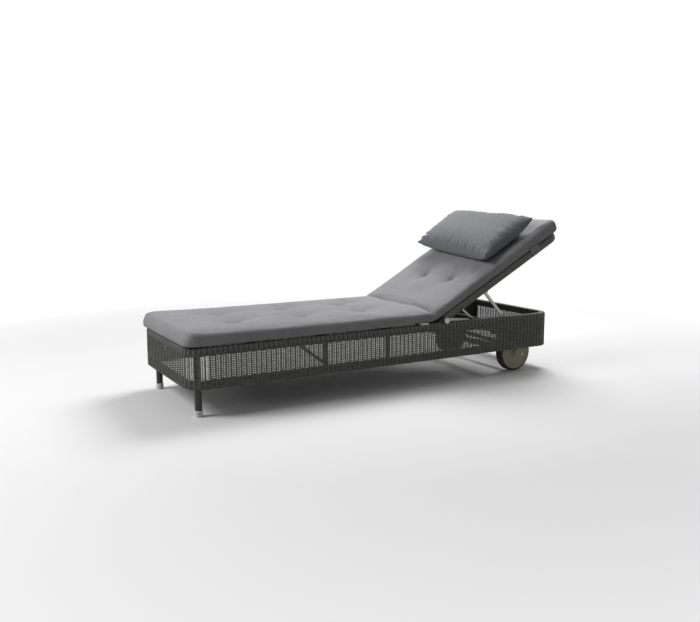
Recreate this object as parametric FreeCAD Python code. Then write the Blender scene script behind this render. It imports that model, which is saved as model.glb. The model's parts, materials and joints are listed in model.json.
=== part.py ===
import FreeCAD, Part
import math
import os

V = FreeCAD.Vector

# Sun lounger: woven base on two legs and two wheels, reclining backrest, tufted mattress, head pillow.
# Frame: +X points to the head end, +Y across, +Z up, floor at Z = 0. Millimetres and degrees.

# Woven base, a rounded rectangle seen from above
BASE_LENGTH = 2000.0
BASE_WIDTH = 660.0
BASE_HEIGHT = 176.0
GROUND_CLEARANCE = 126.0
CORNER_RADIUS = 82.0
SKIRT_THICKNESS = 3.0
WALL_FIT = 0.2
RAIL_WIDTH = 26.0
RAIL_WALL = 2.0
RAIL_EDGE_RADIUS = 6.0
TOP_RAIL_HEIGHT = 34.0
BOTTOM_RAIL_HEIGHT = 33.0

# Stations of seat bars and wall posts along the base (the first has no post), and diagonal braces
POST_SIZE = 14.0
STATION_COUNT = 5
FIRST_POST = 1
FOOT_TO_FIRST_STATION = 301.0
HEAD_TO_LAST_STATION = 351.0
BRACED_POST = 1
BRACE_WIDTH = 12.0
BRACE_RUN = 120.0
BRACE_FOOT_HEIGHT = 52.0

# Plates behind the weave: a gusset under each hinge, a strut, and a guard beside each wheel
PLATE_THICKNESS = 3.0
PLATE_POST_GAP = 0.3
GUSSET_TO_HINGE = 41.0
GUSSET_TOP_LENGTH = 207.0
GUSSET_SHOULDER = 38.0
GUSSET_FOOT_TO_HINGE = 25.0
GUSSET_FOOT_LENGTH = 81.0
GUSSET_DEPTH = 96.0
GUSSET_CORNER_RADIUS = 28.0
PLATE_TOP_DEPTH = 18.0
GUSSET_TO_STRUT = 157.0
STRUT_WIDTH = 20.0
STRUT_RISE = 77.0
STRUT_TO_AXLE = 130.0
GUARD_TOP_REACH = 100.0
GUARD_FOOT_REACH = 176.0
GUARD_SAG = 12.0

# Seat deck
SEAT_BAR_DIAMETER = 24.0
SEAT_BAR_COUNT = 3
SEAT_BAR_WALL = 1.5
SEAT_PANEL_THICKNESS = 9.0
SEAT_PANEL_LAP = 3.2
SEAT_PANEL_TO_HINGE = 56.0

# Legs at the foot end, with pale caps
LEG_DIAMETER = 30.0
LEG_WALL = 1.5
LEG_RAIL_GAP = 0.3
LEG_TOP_INSET = 6.0
CAP_WALL = 2.5
CAP_HEIGHT = 28.0
CAP_FLOOR = 8.0
CAP_EDGE_RADIUS = 2.0
CAP_FIT = 0.05

# Wheels, axle and their carriers at the head end
WHEEL_RADIUS = 98.0
WHEEL_WIDTH = 46.0
WHEEL_INSET = 40.0
HEAD_TO_AXLE = 206.0
TYRE_DEPTH = 11.0
TYRE_EDGE_RADIUS = 7.0
HUB_RADIUS = 26.0
WEB_THICKNESS = 14.0
WEB_RECESS = 4.0
RIM_DEPTH = 9.0
BUSH_WALL = 4.0
SEAT_FIT = 0.05
PLUG_RADIUS = 5.0
PLUG_HEAD_RADIUS = 8.0
PLUG_HEAD_HEIGHT = 2.0
PLUG_OFFSET_X = 51.0
PLUG_OFFSET_Z = -15.0
AXLE_DIAMETER = 22.0
AXLE_WALL = 3.0
RUNNING_FIT = 0.05
WHEEL_SIDE_GAP = 0.3
AXLE_OVERHANG = 6.0
AXLE_CAP_WALL = 3.0
SPACER_WALL = 5.0
SPACER_LENGTH = 18.0
BEARER_WIDTH = 20.0
BEARER_HEIGHT = 24.0
BEARER_LIFT = 4.0
HANGER_THICKNESS = 8.0
HANGER_EDGE = 13.0
WHEEL_BEAM_SIZE = 24.0
WHEEL_BEAM_GAP = 28.0

# Backrest hinge
HEAD_TO_HINGE = 694.0
HINGE_RISE = 12.0
HINGE_PIN_RADIUS = 6.0
HINGE_PLATE_THICKNESS = 6.0
HINGE_BOSS_RADIUS = 13.0
HINGE_ARM_LENGTH = 160.0
HINGE_ARM_DROP = 14.0
HINGE_ARM_WIDTH = 13.0
HINGE_TAB_WIDTH = 28.0
HINGE_TAB_DEPTH = 28.0
HINGE_SIDE_GAP = 0.5
PIVOT_CAP_RADIUS = 15.0
PIVOT_CAP_THICKNESS = 3.5
PIN_HEAD_RADIUS = 9.0
PIN_HEAD_HEIGHT = 4.0
BOLT_RADIUS = 3.0
BOLT_HEAD_RADIUS = 6.0
BOLT_HEAD_HEIGHT = 4.0

# Backrest, drawn lying flat with its hinge axis at the origin, then raised
REST_ANGLE = 28.0
FLAT_ANGLE = 0.0
RAISED_ANGLE = 45.0
BACK_TUBE_WIDTH = 30.0
BACK_TUBE_HEIGHT = 38.0
BACK_TUBE_EDGE_RADIUS = 14.0
BACK_TUBE_WALL = 1.5
BACK_TUBE_LIFT = 10.0
BACK_EYE_LIFT = 6.0
BACK_LENGTH = 835.0
BACK_BEND_RADIUS = 55.0
BACK_BAR_DIAMETER = 20.0
BACK_BAR_LIFT = 10.0
BACK_BAR_START = 140.0
BACK_BAR_PITCH = 275.0
BACK_BAR_COUNT = 3
BACK_BAR_TO_TOP = 145.0
BACK_PANEL_THICKNESS = 8.0
BACK_PANEL_START = 22.0
BACK_PANEL_GAP = 0.5

# Curved arms under the backrest
ARM_THICKNESS = 6.0
ARM_WIDTH = 9.0
ARM_INSET = 34.0
ARM_TIP_FORWARD = 87.0
ARM_TIP_DROP = 162.0
ARM_SAG = 16.0

# Prop stay: two arms and a foot bar that runs over the notched racks
STAY_LENGTH = 261.0
STAY_PIN_ALONG = 294.0
STAY_PIN_DROP = 20.0
STAY_PIN_RADIUS = 5.0
STAY_REST_ANGLE = 46.9
STAY_RATIO = 2.25
STAY_WIDTH = 14.0
STAY_THICKNESS = 10.0
STAY_EYE_WALL = 5.0
STAY_SIDE_GAP = 0.5
FOOT_BAR_DIAMETER = 14.0
FOOT_BAR_END_GAP = 1.0
LUG_THICKNESS = 11.5
LUG_HALF_WIDTH = 11.0
LUG_RAIL_GAP = 0.3
LUG_SADDLE_REACH = 8.0
PIN_CLIP_HEIGHT = 3.5
PIN_CLIP_RADIUS = 8.0
RACK_PLATE_THICKNESS = 5.0
RACK_LEDGE_GAP = 1.5
RACK_LEDGE_HEIGHT = 16.0
RACK_CLEARANCE = 0.8
RACK_END_MARGIN = 9.0
RACK_TOP_INSET = 6.0
RACK_STEPS = 15
NOTCH_COUNT = 6
NOTCH_DEPTH = 2.7
RACK_BOLT_DROP = 11.0

# Rail pads beside the fold
PAD_LENGTH = 46.0
PAD_WIDTH = 20.0
PAD_HEIGHT = 8.7
PAD_TO_HINGE = 104.0
PAD_EDGE_INSET = 2.0
PAD_EDGE_RADIUS = 3.0

# Mattress and pillow
SOFT_GAP = 0.3
MATTRESS_INSET = 2.0
MATTRESS_SIDE = 46.0
MATTRESS_HEAD_SIDE = 64.0
MATTRESS_CROWN = 14.0
MATTRESS_END_DROP = 8.0
MATTRESS_SIDE_BULGE = 5.0
MATTRESS_DRAW_IN = 5.0
MATTRESS_END_ROUND = 60.0
MATTRESS_STATIONS = 12
FOOT_OVERHANG = 10.0
SEAT_FOLD_TO_HINGE = 75.0
BACK_FOLD_TO_HINGE = 26.0
BACK_CUSHION_OVERHANG = 25.0
TUFT_DEPTH = 11.0
TUFT_RADIUS = 34.0
TUFT_ACROSS = 230.0
SEAT_TUFT_COUNT = 3
FOOT_TO_FIRST_TUFT = 295.0
LAST_TUFT_TO_FOLD = 280.0
BACK_TUFT_PITCH = 325.0
BACK_TUFT_COUNT = 2
HINGE_TO_BACK_TUFT = 245.0
PILLOW_WIDTH = 630.0
PILLOW_DEPTH = 340.0
PILLOW_THICKNESS = 122.0
PILLOW_QUARTER_FILL = 0.9
PILLOW_START = 380.0
PILLOW_EAR = 18.0
PILLOW_EAR_THICKNESS = 26.0
PILLOW_GAP = 0.6
STRAP_WIDTH = 60.0
STRAP_THICKNESS = 2.0
STRAP_STATION = 622.0
STRAP_INNER_INSET = 6.0

# Places worked out from the driving dimensions
HALF_LENGTH = BASE_LENGTH / 2
HALF_WIDTH = BASE_WIDTH / 2
BASE_BOTTOM = GROUND_CLEARANCE
BASE_TOP = GROUND_CLEARANCE + BASE_HEIGHT
BEND_X = HALF_LENGTH - CORNER_RADIUS
BEND_Y = HALF_WIDTH - CORNER_RADIUS
RAIL_OUTER_INSET = SKIRT_THICKNESS + WALL_FIT
RAIL_INNER_INSET = RAIL_OUTER_INSET + RAIL_WIDTH
RAIL_MIDDLE_Y = HALF_WIDTH - RAIL_OUTER_INSET - RAIL_WIDTH / 2
INNER_Y = HALF_WIDTH - RAIL_INNER_INSET
INNER_X = HALF_LENGTH - RAIL_INNER_INSET
STATION_PITCH = (BASE_LENGTH - FOOT_TO_FIRST_STATION - HEAD_TO_LAST_STATION) / (STATION_COUNT - 1)
STATION_X = [-HALF_LENGTH + FOOT_TO_FIRST_STATION + i * STATION_PITCH for i in range(STATION_COUNT)]
HINGE_X = HALF_LENGTH - HEAD_TO_HINGE
HINGE_Z = BASE_TOP + HINGE_RISE
AXLE_X = HALF_LENGTH - HEAD_TO_AXLE
AXLE_Z = WHEEL_RADIUS
AXLE_RADIUS = AXLE_DIAMETER / 2
WHEEL_OUTER_Y = HALF_WIDTH - WHEEL_INSET
WHEEL_INNER_Y = WHEEL_OUTER_Y - WHEEL_WIDTH
BACK_TUBE_INNER_Y = INNER_Y + HINGE_SIDE_GAP
BACK_TUBE_Y = BACK_TUBE_INNER_Y + BACK_TUBE_WIDTH / 2
BACK_TUBE_OUTER_Y = BACK_TUBE_INNER_Y + BACK_TUBE_WIDTH
BACK_UNDERSIDE = BACK_TUBE_LIFT - BACK_TUBE_HEIGHT / 2
BACK_TOP = BACK_TUBE_LIFT + BACK_TUBE_HEIGHT / 2
BACK_BEND_START = BACK_LENGTH - BACK_TUBE_WIDTH / 2 - BACK_BEND_RADIUS
BACK_BAR_STATIONS = [BACK_BAR_START + i * BACK_BAR_PITCH for i in range(BACK_BAR_COUNT - 1)]
BACK_BAR_STATIONS.append(BACK_LENGTH - BACK_BAR_TO_TOP)
FOOT_BAR_RADIUS = FOOT_BAR_DIAMETER / 2
LUG_OUTER_Y = INNER_Y - LUG_RAIL_GAP
LUG_INNER_Y = LUG_OUTER_Y - LUG_THICKNESS
STAY_OUTER_Y = LUG_INNER_Y - STAY_SIDE_GAP
STAY_INNER_Y = STAY_OUTER_Y - STAY_THICKNESS
RACK_LEDGE_Y = STAY_OUTER_Y + RACK_LEDGE_GAP
RACK_PLATE_Y = INNER_Y - RACK_PLATE_THICKNESS
FOOT_BAR_Y = RACK_PLATE_Y - FOOT_BAR_END_GAP
SEAT_TOP = BASE_TOP + SEAT_PANEL_THICKNESS
MATTRESS_WIDTH = BASE_WIDTH - 2 * MATTRESS_INSET
SEAT_FOLD_X = HINGE_X - SEAT_FOLD_TO_HINGE


def polygon(points, y0, y1):
    """Extrude a closed outline of (x, z) points from y0 to y1."""
    wire = Part.makePolygon([V(x, y0, z) for x, z in points + points[:1]])
    return Part.Face(wire).extrude(V(0, y1 - y0, 0))


def box(x0, x1, y0, y1, z0, z1):
    """A block between two corners."""
    return Part.makeBox(x1 - x0, y1 - y0, z1 - z0, V(x0, y0, z0))


def round_y(x, z, radius, y0, y1):
    """A round bar along Y."""
    return Part.makeCylinder(radius, y1 - y0, V(x, y0, z), V(0, 1, 0))


def joined(shapes):
    """Fuse shapes into one clean solid."""
    result = shapes[0].fuse(shapes[1:])
    return result.removeSplitter()


def mirrored(shape):
    """The same piece on the other side of the lounger."""
    return shape.mirror(V(0, 0, 0), V(0, 1, 0))


def rounded_outline(a0, a1, b0, b1, radius, place):
    """Closed wire of a rectangle with round corners; place maps (a, b) to a point."""
    bow = radius * (1 - math.sqrt(0.5))
    corners = (
        ((a1 - radius, b0), (a1 - bow, b0 + bow), (a1, b0 + radius)),
        ((a1, b1 - radius), (a1 - bow, b1 - bow), (a1 - radius, b1)),
        ((a0 + radius, b1), (a0 + bow, b1 - bow), (a0, b1 - radius)),
        ((a0, b0 + radius), (a0 + bow, b0 + bow), (a0 + radius, b0)),
    )
    edges = []
    for index, corner in enumerate(corners):
        start, middle, end = [place(a, b) for a, b in corner]
        following = place(*corners[(index + 1) % 4][0])
        edges.append(Part.Arc(start, middle, end).toShape())
        edges.append(Part.makeLine(end, following))
    return Part.Wire(edges)


def wall_face(inset0, inset1, z0, z1, radius, wall):
    """Section of a rail on the +Y wall, in the plane X = 0, hollow if a wall is given."""
    def place(inset, z):
        return V(0, HALF_WIDTH - inset, z)
    face = Part.Face(rounded_outline(inset0, inset1, z0, z1, radius, place))
    if wall:
        width = (inset0 + wall, inset1 - wall)
        core = rounded_outline(*width, z0 + wall, z1 - wall, radius - wall, place)
        face = face.cut(Part.Face(core)).Faces[0]
    return face


def plain_face(inset0, inset1, z0, z1):
    """Square-cornered section on the +Y wall, in the plane X = 0."""
    corners = [(inset0, z0), (inset1, z0), (inset1, z1), (inset0, z1), (inset0, z0)]
    return Part.Face(Part.makePolygon([V(0, HALF_WIDTH - inset, z) for inset, z in corners]))


def side_run(face):
    """Straight length of a wall section along the +Y side."""
    return face.translated(V(-BEND_X, 0, 0)).extrude(V(2 * BEND_X, 0, 0))


def end_run(face, heading):
    """Wall section carried round both corners of one end; heading is +1 at the head, -1 at the foot."""
    start = face.translated(V(heading * BEND_X, 0, 0))
    centre = V(heading * BEND_X, BEND_Y, 0)
    bend = start.revolve(centre, V(0, 0, 1), -90 * heading)
    turned = start.rotated(centre, V(0, 0, 1), -90 * heading)
    straight = turned.extrude(V(0, -2 * BEND_Y, 0))
    return joined([bend, straight, mirrored(bend)])


def make_walls():
    """Rails and woven skirt panels of the four walls."""
    rail = (RAIL_OUTER_INSET, RAIL_INNER_INSET)
    tube = (RAIL_EDGE_RADIUS, RAIL_WALL)
    top = wall_face(*rail, BASE_TOP - TOP_RAIL_HEIGHT, BASE_TOP, *tube)
    bottom = wall_face(*rail, BASE_BOTTOM, BASE_BOTTOM + BOTTOM_RAIL_HEIGHT, *tube)
    skirt = plain_face(0, SKIRT_THICKNESS, BASE_BOTTOM, BASE_TOP)
    nodes = {}
    for name, face in (("top_rail", top), ("bottom_rail", bottom), ("woven_skirt", skirt)):
        nodes[name + "_right"] = side_run(face)
        nodes[name + "_left"] = mirrored(nodes[name + "_right"])
        nodes[name + "_foot"] = end_run(face, -1)
        nodes[name + "_head"] = end_run(face, 1)
    return nodes


def make_uprights():
    """Posts between the rails of each side wall, and one diagonal brace per side."""
    low = BASE_BOTTOM + BOTTOM_RAIL_HEIGHT
    high = BASE_TOP - TOP_RAIL_HEIGHT
    half = POST_SIZE / 2
    y0, y1 = RAIL_MIDDLE_Y - half, RAIL_MIDDLE_Y + half
    posts = [box(x - half, x + half, y0, y1, low, high) for x in STATION_X[FIRST_POST:]]
    posts = Part.makeCompound(posts)
    face_x = STATION_X[BRACED_POST] - half
    foot_z = BASE_BOTTOM + BRACE_FOOT_HEIGHT
    slope = math.atan2(high - foot_z, BRACE_RUN)
    along = BRACE_WIDTH / 2 / math.sin(slope)
    upright = BRACE_WIDTH / 2 / math.cos(slope)
    top_x = face_x - BRACE_RUN
    outline = [
        (top_x - along, high), (top_x + along, high),
        (face_x, foot_z + upright), (face_x, foot_z - upright),
    ]
    brace = polygon(outline, RAIL_MIDDLE_Y - BRACE_WIDTH / 2, RAIL_MIDDLE_Y + BRACE_WIDTH / 2)
    return {
        "wall_posts_right": posts, "wall_posts_left": mirrored(posts),
        "wall_braces": Part.makeCompound([brace, mirrored(brace)]),
    }


def make_plates():
    """Plates behind the weave of each side wall, and the guards round the head corners."""
    low = BASE_BOTTOM + BOTTOM_RAIL_HEIGHT
    high = BASE_TOP - TOP_RAIL_HEIGHT
    y1 = RAIL_MIDDLE_Y - POST_SIZE / 2 - PLATE_POST_GAP
    y0 = y1 - PLATE_THICKNESS
    top_x, foot_x = HINGE_X - GUSSET_TO_HINGE, HINGE_X + GUSSET_FOOT_TO_HINGE
    gusset = polygon([
        (top_x, high), (top_x + GUSSET_TOP_LENGTH, high),
        (foot_x + GUSSET_FOOT_LENGTH, high - GUSSET_DEPTH), (foot_x, high - GUSSET_DEPTH),
        (top_x, high - GUSSET_SHOULDER),
    ], y0, y1)
    low_edges = [edge for edge in gusset.Edges if edge.BoundBox.ZMax < high]
    corners = [edge for edge in low_edges if edge.BoundBox.XLength < PLATE_THICKNESS]
    gusset = gusset.makeFillet(GUSSET_CORNER_RADIUS, corners)

    guard_top, guard_foot = V(AXLE_X - GUARD_TOP_REACH, y0, high), V(AXLE_X - GUARD_FOOT_REACH, y0, low)
    chord = guard_top - guard_foot
    sag = V(chord.z, 0, -chord.x) * (GUARD_SAG / chord.Length)
    head_top, head_foot = V(BEND_X, y0, high), V(BEND_X, y0, low)
    outline = Part.Wire([
        Part.makeLine(guard_top, head_top), Part.makeLine(head_top, head_foot),
        Part.makeLine(head_foot, guard_foot),
        Part.Arc(guard_foot, (guard_foot + guard_top) / 2 + sag, guard_top).toShape(),
    ])
    guard = Part.Face(outline).extrude(V(0, PLATE_THICKNESS, 0))

    strut_x, strut_z = top_x + GUSSET_TO_STRUT, low + STRUT_RISE + STRUT_WIDTH
    end_x, end_z = AXLE_X - STRUT_TO_AXLE, low + STRUT_WIDTH
    strut = polygon([
        (strut_x, strut_z - STRUT_WIDTH), (end_x, end_z - STRUT_WIDTH), (end_x, end_z), (strut_x, strut_z),
    ], y0, y1)
    strip = box(strut_x, guard_top.x, y0, y1, high - PLATE_TOP_DEPTH, high)
    plate = joined([gusset, strut, guard, strip])
    corner = plain_face(HALF_WIDTH - y1, HALF_WIDTH - y0, low, high).translated(V(BEND_X, 0, 0))
    corner = corner.revolve(V(BEND_X, BEND_Y, 0), V(0, 0, 1), -90)
    return {"wall_plates": Part.makeCompound([plate, mirrored(plate), corner, mirrored(corner)])}


def make_seat_deck():
    """Cross bars between the side rails and the woven panel that lies on them."""
    radius = SEAT_BAR_DIAMETER / 2
    panel_end = HINGE_X - SEAT_PANEL_TO_HINGE
    bars = []
    for x in STATION_X[:SEAT_BAR_COUNT] + [panel_end - radius]:
        bar = round_y(x, BASE_TOP - radius, radius, -INNER_Y, INNER_Y)
        bars.append(bar.cut(round_y(x, BASE_TOP - radius, radius - SEAT_BAR_WALL, -INNER_Y, INNER_Y)))
    foot = -INNER_X - SEAT_PANEL_LAP
    side = INNER_Y + SEAT_PANEL_LAP
    corner = CORNER_RADIUS - RAIL_INNER_INSET + SEAT_PANEL_LAP
    reach = panel_end + corner
    outline = rounded_outline(foot, reach, -side, side, corner, lambda x, y: V(x, y, BASE_TOP))
    panel = Part.Face(outline).extrude(V(0, 0, SEAT_PANEL_THICKNESS))
    panel = panel.common(box(foot, panel_end, -side, side, BASE_TOP, SEAT_TOP))
    return {"seat_cross_bars": Part.makeCompound(bars), "seat_panel": panel}


def make_legs():
    """Foot-end legs inside the rail bends, with a cap under each."""
    radius = LEG_DIAMETER / 2
    reach = (CORNER_RADIUS - RAIL_INNER_INSET - LEG_RAIL_GAP - radius) * math.sqrt(0.5)
    x, y = -BEND_X - reach, BEND_Y + reach
    top = BASE_TOP - LEG_TOP_INSET
    leg = Part.makeCylinder(radius, top - CAP_FLOOR, V(x, y, CAP_FLOOR))
    leg = leg.cut(Part.makeCylinder(radius - LEG_WALL, top - CAP_FLOOR, V(x, y, CAP_FLOOR)))
    cap = Part.makeCylinder(radius + CAP_FIT + CAP_WALL, CAP_HEIGHT, V(x, y, 0))
    cap = cap.makeFillet(CAP_EDGE_RADIUS, cap.Edges[0:1])
    cap = cap.cut(Part.makeCylinder(radius + CAP_FIT, CAP_HEIGHT, V(x, y, CAP_FLOOR)))
    return {
        "leg_right": leg, "leg_left": mirrored(leg),
        "foot_cap_right": cap, "foot_cap_left": mirrored(cap),
    }


def ring_profile(points):
    """Revolve (radius, y) points about the wheel axle."""
    outline = [V(AXLE_X + radius, y, AXLE_Z) for radius, y in points]
    face = Part.Face(Part.makePolygon(outline + outline[:1]))
    return face.revolve(V(AXLE_X, 0, AXLE_Z), V(0, 1, 0), 360)


def make_wheel():
    """Right wheel: tyre, dished disc, bush and a small plug in the outer face."""
    y0, y1 = WHEEL_INNER_Y, WHEEL_OUTER_Y
    seat = WHEEL_RADIUS - TYRE_DEPTH
    edge = TYRE_EDGE_RADIUS
    bow = edge * (1 - math.sqrt(0.5))

    def at(radius, y):
        return V(AXLE_X + radius, y, AXLE_Z)
    outer = WHEEL_RADIUS
    edges = [
        Part.makeLine(at(seat, y0), at(outer - edge, y0)),
        Part.Arc(at(outer - edge, y0), at(outer - bow, y0 + bow), at(outer, y0 + edge)).toShape(),
        Part.makeLine(at(outer, y0 + edge), at(outer, y1 - edge)),
        Part.Arc(at(outer, y1 - edge), at(outer - bow, y1 - bow), at(outer - edge, y1)).toShape(),
        Part.makeLine(at(outer - edge, y1), at(seat, y1)),
        Part.makeLine(at(seat, y1), at(seat, y0)),
    ]
    tyre = Part.Face(Part.Wire(edges)).revolve(V(AXLE_X, 0, AXLE_Z), V(0, 1, 0), 360)
    bush_outer = AXLE_RADIUS + RUNNING_FIT + BUSH_WALL
    rim = seat - SEAT_FIT
    web1 = y1 - WEB_RECESS
    web0 = web1 - WEB_THICKNESS
    disc = ring_profile([
        (bush_outer + SEAT_FIT, y0), (HUB_RADIUS, y0), (HUB_RADIUS, web0), (rim - RIM_DEPTH, web0),
        (rim - RIM_DEPTH, y0), (rim, y0), (rim, y1), (rim - RIM_DEPTH, y1),
        (rim - RIM_DEPTH - WEB_RECESS, web1), (HUB_RADIUS + WEB_RECESS, web1),
        (HUB_RADIUS, y1), (bush_outer + SEAT_FIT, y1),
    ])
    plug_x, plug_z = AXLE_X + PLUG_OFFSET_X, AXLE_Z + PLUG_OFFSET_Z
    disc = disc.cut(round_y(plug_x, plug_z, PLUG_RADIUS + SEAT_FIT, web0, web1))
    plug = joined([
        round_y(plug_x, plug_z, PLUG_RADIUS, web0, web1),
        round_y(plug_x, plug_z, PLUG_HEAD_RADIUS, web1, web1 + PLUG_HEAD_HEIGHT),
    ])
    bore = AXLE_RADIUS + RUNNING_FIT
    bush = ring_profile([(bore, y0), (bush_outer, y0), (bush_outer, y1), (bore, y1)])
    return {"tyre": tyre, "wheel_disc": disc, "wheel_bush": bush, "wheel_plug": plug}


def make_axle():
    """Axle, its spacers and end caps, and the beam and bearers that carry it."""
    tip = WHEEL_OUTER_Y + AXLE_OVERHANG
    axle = round_y(AXLE_X, AXLE_Z, AXLE_RADIUS, -tip, tip)
    axle = axle.cut(round_y(AXLE_X, AXLE_Z, AXLE_RADIUS - AXLE_WALL, -tip, tip))
    bore = AXLE_RADIUS + SEAT_FIT
    spacer1 = WHEEL_INNER_Y - WHEEL_SIDE_GAP
    hanger1 = spacer1 - SPACER_LENGTH
    sleeve = bore + SPACER_WALL
    spacer = ring_profile([(bore, hanger1), (sleeve, hanger1), (sleeve, spacer1), (bore, spacer1)])
    cap0 = WHEEL_OUTER_Y + WHEEL_SIDE_GAP
    cap = round_y(AXLE_X, AXLE_Z, bore + AXLE_CAP_WALL, cap0, tip + AXLE_CAP_WALL)
    cap = cap.cut(round_y(AXLE_X, AXLE_Z, bore, cap0, tip))

    beam_x = AXLE_X - WHEEL_RADIUS - WHEEL_BEAM_GAP - WHEEL_BEAM_SIZE / 2
    low = BASE_BOTTOM + BEARER_LIFT
    half = WHEEL_BEAM_SIZE / 2
    beam = box(beam_x - half, beam_x + half, -INNER_Y, INNER_Y, low, low + WHEEL_BEAM_SIZE)
    hanger0 = hanger1 - HANGER_THICKNESS
    bearer0 = (hanger0 + hanger1 - BEARER_WIDTH) / 2
    bearer = box(beam_x + half, INNER_X, bearer0, bearer0 + BEARER_WIDTH, low, low + BEARER_HEIGHT)
    eye = AXLE_RADIUS + HANGER_EDGE
    hanger = joined([
        round_y(AXLE_X, AXLE_Z, eye, hanger0, hanger1),
        box(AXLE_X - eye, AXLE_X + eye, hanger0, hanger1, AXLE_Z, low),
    ])
    bearer = joined([bearer, hanger]).cut(round_y(AXLE_X, AXLE_Z, bore, hanger0, hanger1))
    return {
        "wheel_axle": axle, "axle_spacers": Part.makeCompound([spacer, mirrored(spacer)]),
        "axle_end_caps": Part.makeCompound([cap, mirrored(cap)]),
        "wheel_beam": beam, "axle_bearer_right": bearer, "axle_bearer_left": mirrored(bearer),
    }


def make_hinges():
    """Hinge plates on the inner rail faces, and the pins that carry the backrest."""
    y1 = INNER_Y
    y0 = y1 - HINGE_PLATE_THICKNESS
    tail_x, tail_z = HINGE_X + HINGE_ARM_LENGTH, HINGE_Z - HINGE_ARM_DROP
    slope = math.atan2(HINGE_ARM_DROP, HINGE_ARM_LENGTH)
    dx, dz = HINGE_ARM_WIDTH / 2 * math.sin(slope), HINGE_ARM_WIDTH / 2 * math.cos(slope)
    arm = polygon([
        (HINGE_X - dx, HINGE_Z - dz), (tail_x - dx, tail_z - dz),
        (tail_x + dx, tail_z + dz), (HINGE_X + dx, HINGE_Z + dz),
    ], y0, y1)
    tab0, tab1 = HINGE_X - HINGE_TAB_WIDTH / 2, HINGE_X + HINGE_TAB_WIDTH / 2
    tab_low = BASE_TOP - HINGE_TAB_DEPTH
    plate = joined([
        arm, round_y(HINGE_X, HINGE_Z, HINGE_BOSS_RADIUS, y0, y1),
        round_y(tail_x, tail_z, HINGE_ARM_WIDTH / 2, y0, y1),
        box(tab0, tab1, y0, y1, tab_low, HINGE_Z - HINGE_BOSS_RADIUS / 2),
        box(tail_x - HINGE_BOSS_RADIUS, tail_x, y0, y1, tab_low, tail_z),
    ])
    plate = plate.cut(round_y(HINGE_X, HINGE_Z, HINGE_PIN_RADIUS + SEAT_FIT, y0, y1))
    bolt_z = (tab_low + BASE_TOP) / 2
    bolt_places = [(tail_x - HINGE_BOSS_RADIUS / 2, bolt_z), (HINGE_X, bolt_z)]
    for x, z in bolt_places:
        plate = plate.cut(round_y(x, z, BOLT_RADIUS + SEAT_FIT, y0, y1))
    cap0 = BACK_TUBE_OUTER_Y + HINGE_SIDE_GAP
    pin = joined([
        round_y(HINGE_X, HINGE_Z, PIN_HEAD_RADIUS, y0 - PIN_HEAD_HEIGHT, y0),
        round_y(HINGE_X, HINGE_Z, HINGE_PIN_RADIUS, y0, cap0),
        round_y(HINGE_X, HINGE_Z, PIVOT_CAP_RADIUS, cap0, cap0 + PIVOT_CAP_THICKNESS),
    ])
    bolts = [make_bolt(x, z, y0, y1) for x, z in bolt_places]
    nodes = {
        "hinge_plate_right": plate, "hinge_plate_left": mirrored(plate),
        "hinge_pins": Part.makeCompound([pin, mirrored(pin)]),
    }
    return nodes, bolts


def make_bolt(x, z, y0, y1):
    """Bolt through a plate that lies against the inner rail face."""
    return joined([
        round_y(x, z, BOLT_HEAD_RADIUS, y0 - BOLT_HEAD_HEIGHT, y0),
        round_y(x, z, BOLT_RADIUS, y0, y1),
    ])


def stay_pin(back_angle):
    """Centre of the pin that the stay turns on, in the side view, at one backrest angle."""
    turn = math.radians(back_angle)
    x = HINGE_X + STAY_PIN_ALONG * math.cos(turn) + STAY_PIN_DROP * math.sin(turn)
    z = HINGE_Z + STAY_PIN_ALONG * math.sin(turn) - STAY_PIN_DROP * math.cos(turn)
    return x, z


def stay_foot(back_angle):
    """Centre of the stay's foot bar, in the side view, at one backrest angle."""
    pin_x, pin_z = stay_pin(back_angle)
    stay = math.radians(STAY_REST_ANGLE + (STAY_RATIO - 1) * (back_angle - REST_ANGLE))
    return pin_x + STAY_LENGTH * math.cos(stay), pin_z - STAY_LENGTH * math.sin(stay)


def make_rack():
    """Right rack: a plate on the inner rail face with a notched ledge under the foot bar's path."""
    span = RAISED_ANGLE - FLAT_ANGLE
    path = [stay_foot(FLAT_ANGLE + span * i / RACK_STEPS) for i in range(RACK_STEPS + 1)]
    head_end = (path[0][0] + RACK_END_MARGIN, path[0][1])
    hinge_end = (path[-1][0] - RACK_END_MARGIN, path[-1][1])
    path = [head_end] + path + [hinge_end]
    drop = FOOT_BAR_RADIUS + RACK_CLEARANCE
    crest = [(x, z - drop) for x, z in path]
    underside = [(x, z - RACK_LEDGE_HEIGHT) for x, z in reversed(crest)]
    ledge = polygon(crest + underside, RACK_LEDGE_Y, INNER_Y)
    low = min(z for x, z in crest) - RACK_LEDGE_HEIGHT
    plate = box(path[-1][0], path[0][0], RACK_PLATE_Y, INNER_Y, low, BASE_TOP - RACK_TOP_INSET)
    rack = joined([ledge, plate])
    for i in range(NOTCH_COUNT):
        x, z = stay_foot(FLAT_ANGLE + span * i / (NOTCH_COUNT - 1))
        rack = rack.cut(round_y(x, z, drop + NOTCH_DEPTH, RACK_LEDGE_Y, RACK_PLATE_Y))
    bolt_z = BASE_TOP - RACK_TOP_INSET - RACK_BOLT_DROP
    margin = (path[0][0] - path[-1][0]) / NOTCH_COUNT
    bolts = []
    for x in (path[-1][0] + margin, path[0][0] - margin):
        rack = rack.cut(round_y(x, bolt_z, BOLT_RADIUS + SEAT_FIT, RACK_PLATE_Y, INNER_Y))
        bolts.append(make_bolt(x, bolt_z, RACK_PLATE_Y, INNER_Y))
    return {"stay_rack_right": rack, "stay_rack_left": mirrored(rack)}, bolts


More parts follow.
